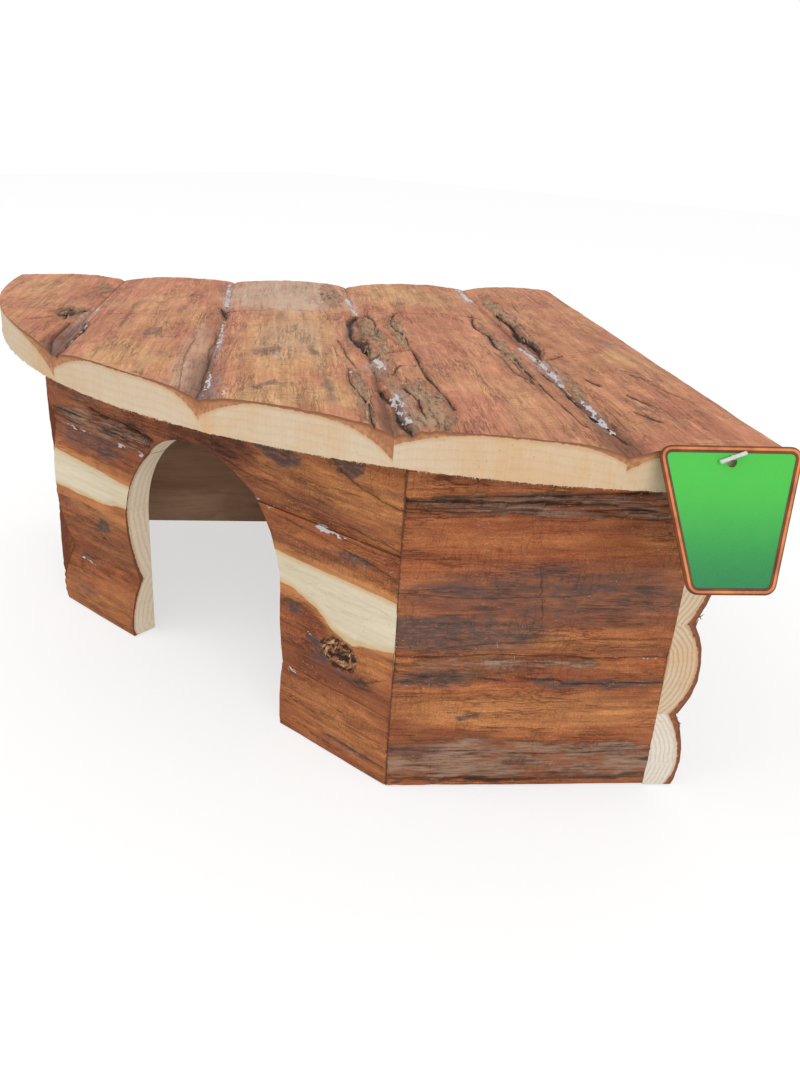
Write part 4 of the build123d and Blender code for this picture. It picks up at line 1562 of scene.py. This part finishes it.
class HOUSE_OT_splinters(bpy.types.Operator):
    """Build the splinters under the roof's rim and the fibres that lie on the bark"""

    bl_idname = "rodent_house.splinters"
    bl_label = "Splinters"

    def execute(self, context):
        sizes, colours, _, _ = settings(context)
        made = wood_materials(colours)
        random = Random(5)
        for name, material, lay in (
            ("rim_splinters", "splinters", self.fray_rim),
            ("bark_strips", "bark strips", self.lay_strips),
            ("bark_fibres", "splinters", self.lay_fibres),
            ("knot_shards", "torn wood", self.tear_knot),
            ("seam_chips", "bark chips", self.chip_seams),
        ):
            pile = Pile()
            lay(pile, sizes, random)
            finish_mesh(name, pile.finish(), [made[material]], HOUSE)
        return {"FINISHED"}

    def fray_rim(self, pile, sizes, random):
        """Splinters that the saw left under the rim, in clumps."""
        place, centre = roof_place(sizes)
        heart = place.point(centre[1], centre[0], 0)
        for _ in range(RIM_SPLINTERS):
            angle = radians(random.uniform(*RIM_ARC))
            across = centre[0] + sizes.roof_radius * cos(angle)
            along = centre[1] + sizes.roof_radius * sin(angle)
            clump = noise.noise(Vector((angle * 40, 0.0, 4.0)))
            if clump < random.uniform(-0.6, 0.4) or across > -0.5 * MM:
                continue
            size = random.uniform(0.25, 0.8) * (1 + 1.2 * max(clump, 0)) * MM
            root = place.point(along, across, random.uniform(0.0, 0.5) * MM)
            outward = (root - heart).normalized()
            lean = place.along.cross(place.out) * random.uniform(-0.8, 0.8)
            way = outward * random.uniform(0.0, 0.5) - place.out + lean
            spike(pile, root - outward * 0.1 * MM, way, size, random.uniform(0.08, 0.20) * MM)

    def lay_strips(self, pile, sizes, random):
        """Slivers of outer bark that lie along the slabs in the rough places."""
        place, _ = roof_place(sizes)
        bark, ground_at = roof_bark(sizes), roof_ground(sizes)
        _, any_shape = next(roof_parts(sizes))
        for mark in (mark for mark in ROOF_MARKS if mark.kind == "rough"):
            for _ in range(round(mark.long * mark.wide / STRIP_AREA)):
                along = mark.along + random.uniform(-0.9, 0.9) * mark.long
                across = mark.across + random.uniform(-0.9, 0.9) * mark.wide
                found = bark.amounts(along, across)
                behind = along - any_shape.front(across * MM) / MM
                if found["rough"] < 0.25 or not STRIP_MARGIN < behind < sizes.side / MM - STRIP_MARGIN:
                    continue
                lift = bark.height(along, across, found, bark.crack(along, across))
                out = ground_at(along * MM, across * MM) + lift - 0.1 * MM
                root = place.point(along * MM, across * MM, out)
                way = place.way(1, random.uniform(-0.22, 0.22), random.uniform(-0.02, 0.05))
                sliver(pile, root, way * random.choice((-1, 1)), (3.0, 11.0), (0.20, 0.50), random)

    def lay_fibres(self, pile, sizes, random):
        """Thin fibres that lie on the walls in front."""
        for wall, count, alongs, heights in FIBRES:
            place = walls(sizes)[wall].place
            for _ in range(count):
                along, across = random.uniform(*alongs), random.uniform(*heights)
                out = sizes.wall_slab - random.uniform(0.2, 1.0) * MM
                way = place.way(random.uniform(-1, 1), random.uniform(-0.5, 0.5), 0.10)
                sliver(pile, place.point(along * MM, across * MM, out), way, (0.5, 1.8), (0.04, 0.09), random)

    def tear_knot(self, pile, sizes, random):
        """Shards of torn wood that stand in the knot's hollow, most of them round its rim."""
        place = walls(sizes)["doorway"].place
        for _ in range(KNOT_SHARDS):
            angle, share = random.uniform(0, 2 * pi), random.uniform(0.3, 1.0) ** 0.5
            along = KNOT[0] + KNOT[2] * 0.80 * share * cos(angle)
            across = KNOT[1] + KNOT[3] * 0.80 * share * sin(angle)
            out = sizes.wall_slab - random.uniform(0.8, 1.8) * MM
            inward = place.along * -cos(angle) + place.across * -sin(angle)
            round_it = place.along * -sin(angle) + place.across * cos(angle)
            way = inward * random.uniform(0.0, 0.8) + round_it * random.uniform(-1.2, 1.2)
            way = way + place.out * random.uniform(0.2, 0.7)
            sliver(pile, place.point(along * MM, across * MM, out), way, (2.4, 5.0), (0.55, 1.2), random)

    def chip_seams(self, pile, sizes, random):
        """Loose bark at the seams of the right back wall, beside its sawn end."""
        place = walls(sizes)["right_back"].place
        seams = (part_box("right_back_wall_lower")[1].z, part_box("right_back_wall_middle")[1].z)
        for _ in range(SEAM_CHIPS):
            across = random.choice(seams) / MM + random.gauss(0, 2.6)
            root = place.point(random.uniform(0.3, 6.0) * MM, across * MM, random.uniform(6.2, 8.2) * MM)
            rise, run = random.uniform(-1, 1), random.uniform(-0.4, 0.6)
            way = place.way(run, rise, random.uniform(0.1, 0.9))
            sliver(pile, root, way, (1.2, 3.2), (0.25, 0.6), random)


def spike(pile, root, way, size, radius):
    """A thin pointed sliver of wood."""
    turn = way.to_track_quat("Z", "Y").to_matrix().to_4x4()
    middle = Matrix.Translation(root + way.normalized() * size / 2)
    bmesh.ops.create_cone(
        pile.next(), cap_ends=True, segments=4, radius1=radius, radius2=radius * 0.2, depth=size,
        matrix=middle @ turn,
    )


def sliver(pile, root, way, sizes, radii, random):
    """A spike whose length and radius lie between two values in millimetres."""
    spike(pile, root, way, random.uniform(*sizes) * MM, random.uniform(*radii) * MM)


# Hang tag and its pin

def pin_frame():
    """The tag's frame: X across the card, Y up it and Z out of its face, at the joint that it turns on."""
    joint = next(joint for joint in frame["record"]["behaviour"]["joints"] if joint["name"] == "tag_swing")
    out = Vector(joint["axis"]).normalized()
    right = Vector((0, 0, 1)).cross(out).normalized()
    up = out.cross(right)
    turn = Matrix((right, up, out)).transposed().to_4x4()
    return Matrix.Translation(Vector(joint["pos_m"])) @ turn


PLAY = 0.0001                               # between the thread and the edge of the hole
BORDER_HEIGHT, BORDER_FALL, LINE_WIDTH = 0.00032, 0.00030, 0.0003
CARD, BORDER, LINE, EDGE = range(4)         # the card's material slots


def hole_slack(look):
    """How far the middle of the hole lies below the thread, on which the card hangs."""
    return (look.hole - look.thread) / 2 - PLAY


def rod(mesh, radius, long, matrix, segments=16):
    """A closed cylinder round its middle."""
    return bmesh.ops.create_cone(
        mesh, cap_ends=True, segments=segments, radius1=radius, radius2=radius, depth=long, matrix=matrix
    )


def card_outline(mesh, look):
    """Face of the card's outline with rounded corners."""
    top = look.hole_drop - hole_slack(look)
    low = top - look.height
    half_top, half_bottom = look.top_width / 2, look.bottom_width / 2
    corners = [(-half_bottom, low), (half_bottom, low), (half_top, top), (-half_top, top)]
    face = mesh.faces.new([mesh.verts.new((x, y, 0)) for x, y in corners])
    verts = face.verts[:]
    lean = atan2(half_top - half_bottom, look.height)
    for pair, angle in ((verts[:2], pi / 2 + lean), (verts[2:], pi / 2 - lean)):
        bmesh.ops.bevel(
            mesh, geom=pair, offset=look.corner / tan(angle / 2), offset_type="OFFSET",
            segments=8, profile=0.5, affect="VERTICES", material=-1,
        )


class HOUSE_OT_hang_tag(bpy.types.Operator):
    """Build the card with its raised border and punched hole"""

    bl_idname = "rodent_house.hang_tag"
    bl_label = "Hang Tag"

    def execute(self, context):
        _, _, look, _ = settings(context)
        mesh = bmesh.new()
        card_outline(mesh, look)
        bmesh.ops.remove_doubles(mesh, verts=mesh.verts, dist=1e-6)
        front = next(iter(mesh.faces))
        if front.normal.z < 0:
            front.normal_flip()
        raise_faces(mesh, [front], look.thickness)
        flat = [face for face in mesh.faces if abs(face.normal.z) > 0.9]
        card = max(flat, key=lambda face: face.calc_center_median().z)
        for wide, high, material in (
            (look.border * 0.3, BORDER_HEIGHT, EDGE),
            (look.border * 0.4, 0.0, BORDER),
            (look.border * 0.3, -BORDER_FALL, EDGE),
            (LINE_WIDTH, 0.0, LINE),
        ):
            step = bmesh.ops.inset_region(
                mesh, faces=[card], thickness=wide, depth=high, use_even_offset=True
            )
            for face in step["faces"]:
                face.material_index = material
        for face in mesh.faces:
            if abs(face.normal.z) < 0.1:
                face.material_index = EDGE
        bmesh.ops.recalc_face_normals(mesh, faces=mesh.faces)
        bmesh.ops.transform(mesh, verts=mesh.verts, matrix=pin_frame())
        piece = finish_mesh("tag_card", mesh, tag_materials(look), TAG, ("hang_tag",), radians(22))
        self.punch(piece, look)
        return {"FINISHED"}

    def punch(self, piece, look):
        """Cuts the hole and applies the cut."""
        tool = bmesh.new()
        spot = pin_frame() @ Matrix.Translation((0, -hole_slack(look), look.thickness / 2))
        rod(tool, look.hole / 2, 0.004, spot, segments=48)
        cutter = add_object("punch", tool)
        cut = piece.modifiers.new("hole", "BOOLEAN")
        cut.operation, cut.object, cut.solver = "DIFFERENCE", cutter, "EXACT"
        shaped = bpy.data.meshes.new_from_object(piece.evaluated_get(bpy.context.evaluated_depsgraph_get()))
        piece.modifiers.remove(cut)
        piece.data = shaped
        bpy.data.objects.remove(cutter)


def border_material(name, dark, light):
    """Glossy copper print, a little cloudy."""
    material, tree, shader = new_material(name, 0.30)
    cloud = tree.noise(tree.place(), 160.0, 3)
    tree.put(shader.inputs["Base Color"], tree.mix(tree.range(cloud, 0.30, 0.70), dark, light))
    tree.put(shader.inputs["Roughness"], tree.range(cloud, 0.3, 0.7, 0.24, 0.36))
    shader.inputs["Specular IOR Level"].default_value = 0.2
    shader.inputs["Coat Weight"].default_value = 0.05
    shader.inputs["Coat Roughness"].default_value = 0.12
    return material


def tag_materials(look):
    """Printed green card, copper border and the thin dark line inside it."""
    card, tree, shader = new_material("tag print", 0.38)
    place = tree.place()
    height = tree.node("ShaderNodeSeparateXYZ")
    tree.put(height.inputs[0], place)
    low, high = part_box("hang_tag")
    share = tree.range(height.outputs["Z"], low.z, high.z - 0.006)
    base = tree.mix(share, look.green_bottom, look.green_top)
    fleck = tree.noise(place, 2600.0, 2)
    base = tree.mix(tree.times(fleck, 0.06), base, (0.6, 0.9, 0.6))
    tree.put(shader.inputs["Base Color"], base)
    tree.put(shader.inputs["Roughness"], tree.range(tree.noise(place, 300.0, 3), 0.3, 0.7, 0.30, 0.44))
    tree.put(shader.inputs["Normal"], tree.bump(fleck, 0.00005, 0.25))
    shader.inputs["Specular IOR Level"].default_value = 0.14
    shader.inputs["Coat Weight"].default_value = 0.04
    shader.inputs["Coat Roughness"].default_value = 0.2

    border = border_material("tag border", look.copper, (0.68, 0.235, 0.066))
    edge = border_material("tag border edge", (0.120, 0.032, 0.013), (0.22, 0.062, 0.021))

    line, tree, shader = new_material("tag inner line", 0.5)
    place = tree.place()
    base = tree.mix(tree.noise(place, 900.0, 2), look.inner_line, (0.06, 0.05, 0.02))
    tree.put(shader.inputs["Base Color"], base)
    return [card, border, line, edge]


class HOUSE_OT_tag_pin(bpy.types.Operator):
    """Build the nylon pin: a thread through the card and a cross bar in front of it"""

    bl_idname = "rodent_house.tag_pin"
    bl_label = "Tag Pin"

    def execute(self, context):
        _, _, look, _ = settings(context)
        place = pin_frame()
        mesh = bmesh.new()
        level = look.thickness + look.gap + look.bar / 2
        reach = level + look.pin_depth
        rod(mesh, look.thread / 2, reach, place @ Matrix.Translation((0, 0, level - reach / 2)))
        middle = place @ Matrix.Translation((0, 0, level))
        lying = middle @ Matrix.Rotation(look.bar_turn, 4, "Z") @ Matrix.Rotation(pi / 2, 4, "Y")
        bar = rod(mesh, look.bar / 2, look.bar_length, lying)
        edges = {edge for vertex in bar["verts"] for edge in vertex.link_edges}
        caps = [edge for edge in edges if any(len(face.verts) > 4 for face in edge.link_faces)]
        bmesh.ops.bevel(
            mesh, geom=caps, offset=look.bar * 0.22, segments=3, profile=0.5, affect="EDGES", material=-1
        )
        bmesh.ops.create_icosphere(mesh, subdivisions=3, radius=look.bar * 0.62, matrix=middle)
        material, tree, shader = new_material("nylon", 0.28)
        cloud = tree.noise(tree.place(), 300.0, 2)
        tree.put(shader.inputs["Base Color"], tree.mix(cloud, look.nylon, (0.76, 0.77, 0.77)))
        tree.put(shader.inputs["Roughness"], tree.range(cloud, 0.3, 0.7, 0.22, 0.36))
        shader.inputs["Transmission Weight"].default_value = 0.35
        finish_mesh("nylon_pin", mesh, [material], HOUSE, ("tag_pin",))
        return {"FINISHED"}


# Studio

Lamp = namedtuple("Lamp", "name spot target size")
KEY = Lamp("key", (-0.9, -1.3, 1.9), (0, 0, 0.05), 1.4)
FILL = Lamp("fill", (1.5, -0.85, 0.65), (0.05, 0, 0.06), 1.2)
FLOOR_GAP = 0.0005                          # keeps the floor clear of the walls' feet

# The photograph's camera: its place, and its heading, tilt and roll in radians
CAMERA_SPOT = (0.2600, -0.3222, 0.2171)
HEADING, TILT, ROLL = 0.0792 - pi / 4, 0.4207, -0.043


def seen_straight(tree):
    """One for rays from the camera and for those that a glossy or clear surface sends on."""
    path = tree.node("ShaderNodeLightPath").outputs
    sent_on = tree.math("MAXIMUM", path["Is Glossy Ray"], path["Is Transmission Ray"])
    return tree.math("MAXIMUM", path["Is Camera Ray"], sent_on)


class HOUSE_OT_studio(bpy.types.Operator):
    """Set up the floor, the sky, two soft lamps and the camera"""

    bl_idname = "rodent_house.studio"
    bl_label = "Studio"

    def execute(self, context):
        _, _, _, studio = settings(context)
        self.floor(studio)
        self.sky(context, studio)
        self.lamp(context, KEY, studio.key)
        self.lamp(context, FILL, studio.fill)
        self.camera(context, studio)
        context.scene.view_settings.view_transform = "Standard"
        return {"FINISHED"}

    def floor(self, studio):
        mesh = bmesh.new()
        low = Matrix.Translation((0, 0, -FLOOR_GAP))
        bmesh.ops.create_grid(mesh, x_segments=2, y_segments=2, size=studio.floor / 2, matrix=low)
        material, tree, shader = new_material("floor", 0.9)
        seen = seen_straight(tree)
        tree.put(shader.inputs["Base Color"], tree.mix(seen, (0.80, 0.80, 0.80), (1 - studio.white,) * 3))
        shader.inputs["Specular IOR Level"].default_value = 0.0
        shader.inputs["Emission Color"].default_value = (1, 1, 1, 1)
        tree.put(shader.inputs["Emission Strength"], tree.times(seen, studio.white + 0.03))
        floor = add_object("floor", mesh, [material])

    def sky(self, context, studio):
        world = bpy.data.worlds.new("studio")
        world.use_nodes = True
        tree = Tree(world.node_tree)
        background = world.node_tree.nodes["Background"]
        tree.put(background.inputs["Strength"], tree.range(seen_straight(tree), 0.0, 1.0, studio.sky, 1.0))
        background.inputs["Color"].default_value = (1, 1, 1, 1)
        context.scene.world = world

    def lamp(self, context, lamp, power):
        light = bpy.data.lights.new(lamp.name, "AREA")
        light.shape, light.size, light.energy = "DISK", lamp.size, power
        made = bpy.data.objects.new(lamp.name, light)
        made.location = lamp.spot
        made.rotation_euler = (Vector(lamp.target) - Vector(lamp.spot)).to_track_quat("-Z", "Y").to_euler()
        context.scene.collection.objects.link(made)

    def camera(self, context, studio):
        forward = Vector((sin(HEADING) * cos(TILT), cos(HEADING) * cos(TILT), -sin(TILT)))
        level = Vector((cos(HEADING), -sin(HEADING), 0))
        down = forward.cross(level)
        right = level * cos(ROLL) + down * sin(ROLL)
        below = down * cos(ROLL) - level * sin(ROLL)
        data = bpy.data.cameras.new("photo camera")
        data.lens, data.sensor_width, data.sensor_fit = studio.lens, 36, "AUTO"
        data.shift_x = studio.shift
        camera = bpy.data.objects.new("photo camera", data)
        turn = Matrix((right, -below, -forward)).transposed().to_4x4()
        camera.matrix_world = Matrix.Translation(CAMERA_SPOT) @ turn
        context.scene.collection.objects.link(camera)
        context.scene.camera = camera


class HOUSE_PT_panel(bpy.types.Panel):
    """Lists the house's sizes, colours and building steps"""

    bl_idname = "HOUSE_PT_panel"
    bl_label = "Rodent House"
    bl_space_type = "VIEW_3D"
    bl_region_type = "UI"
    bl_category = "Rodent House"

    def draw(self, context):
        for group in settings(context):
            box = self.layout.box()
            for name in group.bl_rna.properties.keys():
                if name not in ("rna_type", "name"):
                    box.prop(group, name)
        for operator in OPERATORS:
            self.layout.operator(operator.bl_idname)


GROUPS = (HouseSizes, WoodColours, TagLook, StudioLook)
OPERATORS = (
    HOUSE_OT_roof, HOUSE_OT_doorway_wall, HOUSE_OT_side_walls, HOUSE_OT_back_walls, HOUSE_OT_glue,
    HOUSE_OT_splinters, HOUSE_OT_hang_tag, HOUSE_OT_tag_pin, HOUSE_OT_studio,
)


def register():
    for item in (*GROUPS, *OPERATORS, HOUSE_PT_panel):
        bpy.utils.register_class(item)
    bpy.types.Scene.house_sizes = PointerProperty(type=HouseSizes)
    bpy.types.Scene.wood_colours = PointerProperty(type=WoodColours)
    bpy.types.Scene.tag_look = PointerProperty(type=TagLook)
    bpy.types.Scene.studio_look = PointerProperty(type=StudioLook)


def unregister():
    for name in ("house_sizes", "wood_colours", "tag_look", "studio_look"):
        delattr(bpy.types.Scene, name)
    for item in (HOUSE_PT_panel, *reversed(OPERATORS), *reversed(GROUPS)):
        bpy.utils.unregister_class(item)


def main():
    register()
    steps = bpy.ops.rodent_house
    steps.roof()
    steps.doorway_wall()
    steps.side_walls()
    steps.back_walls()
    steps.glue()
    steps.splinters()
    steps.hang_tag()
    steps.tag_pin()
    steps.studio()


if __name__ == "__main__":
    main()
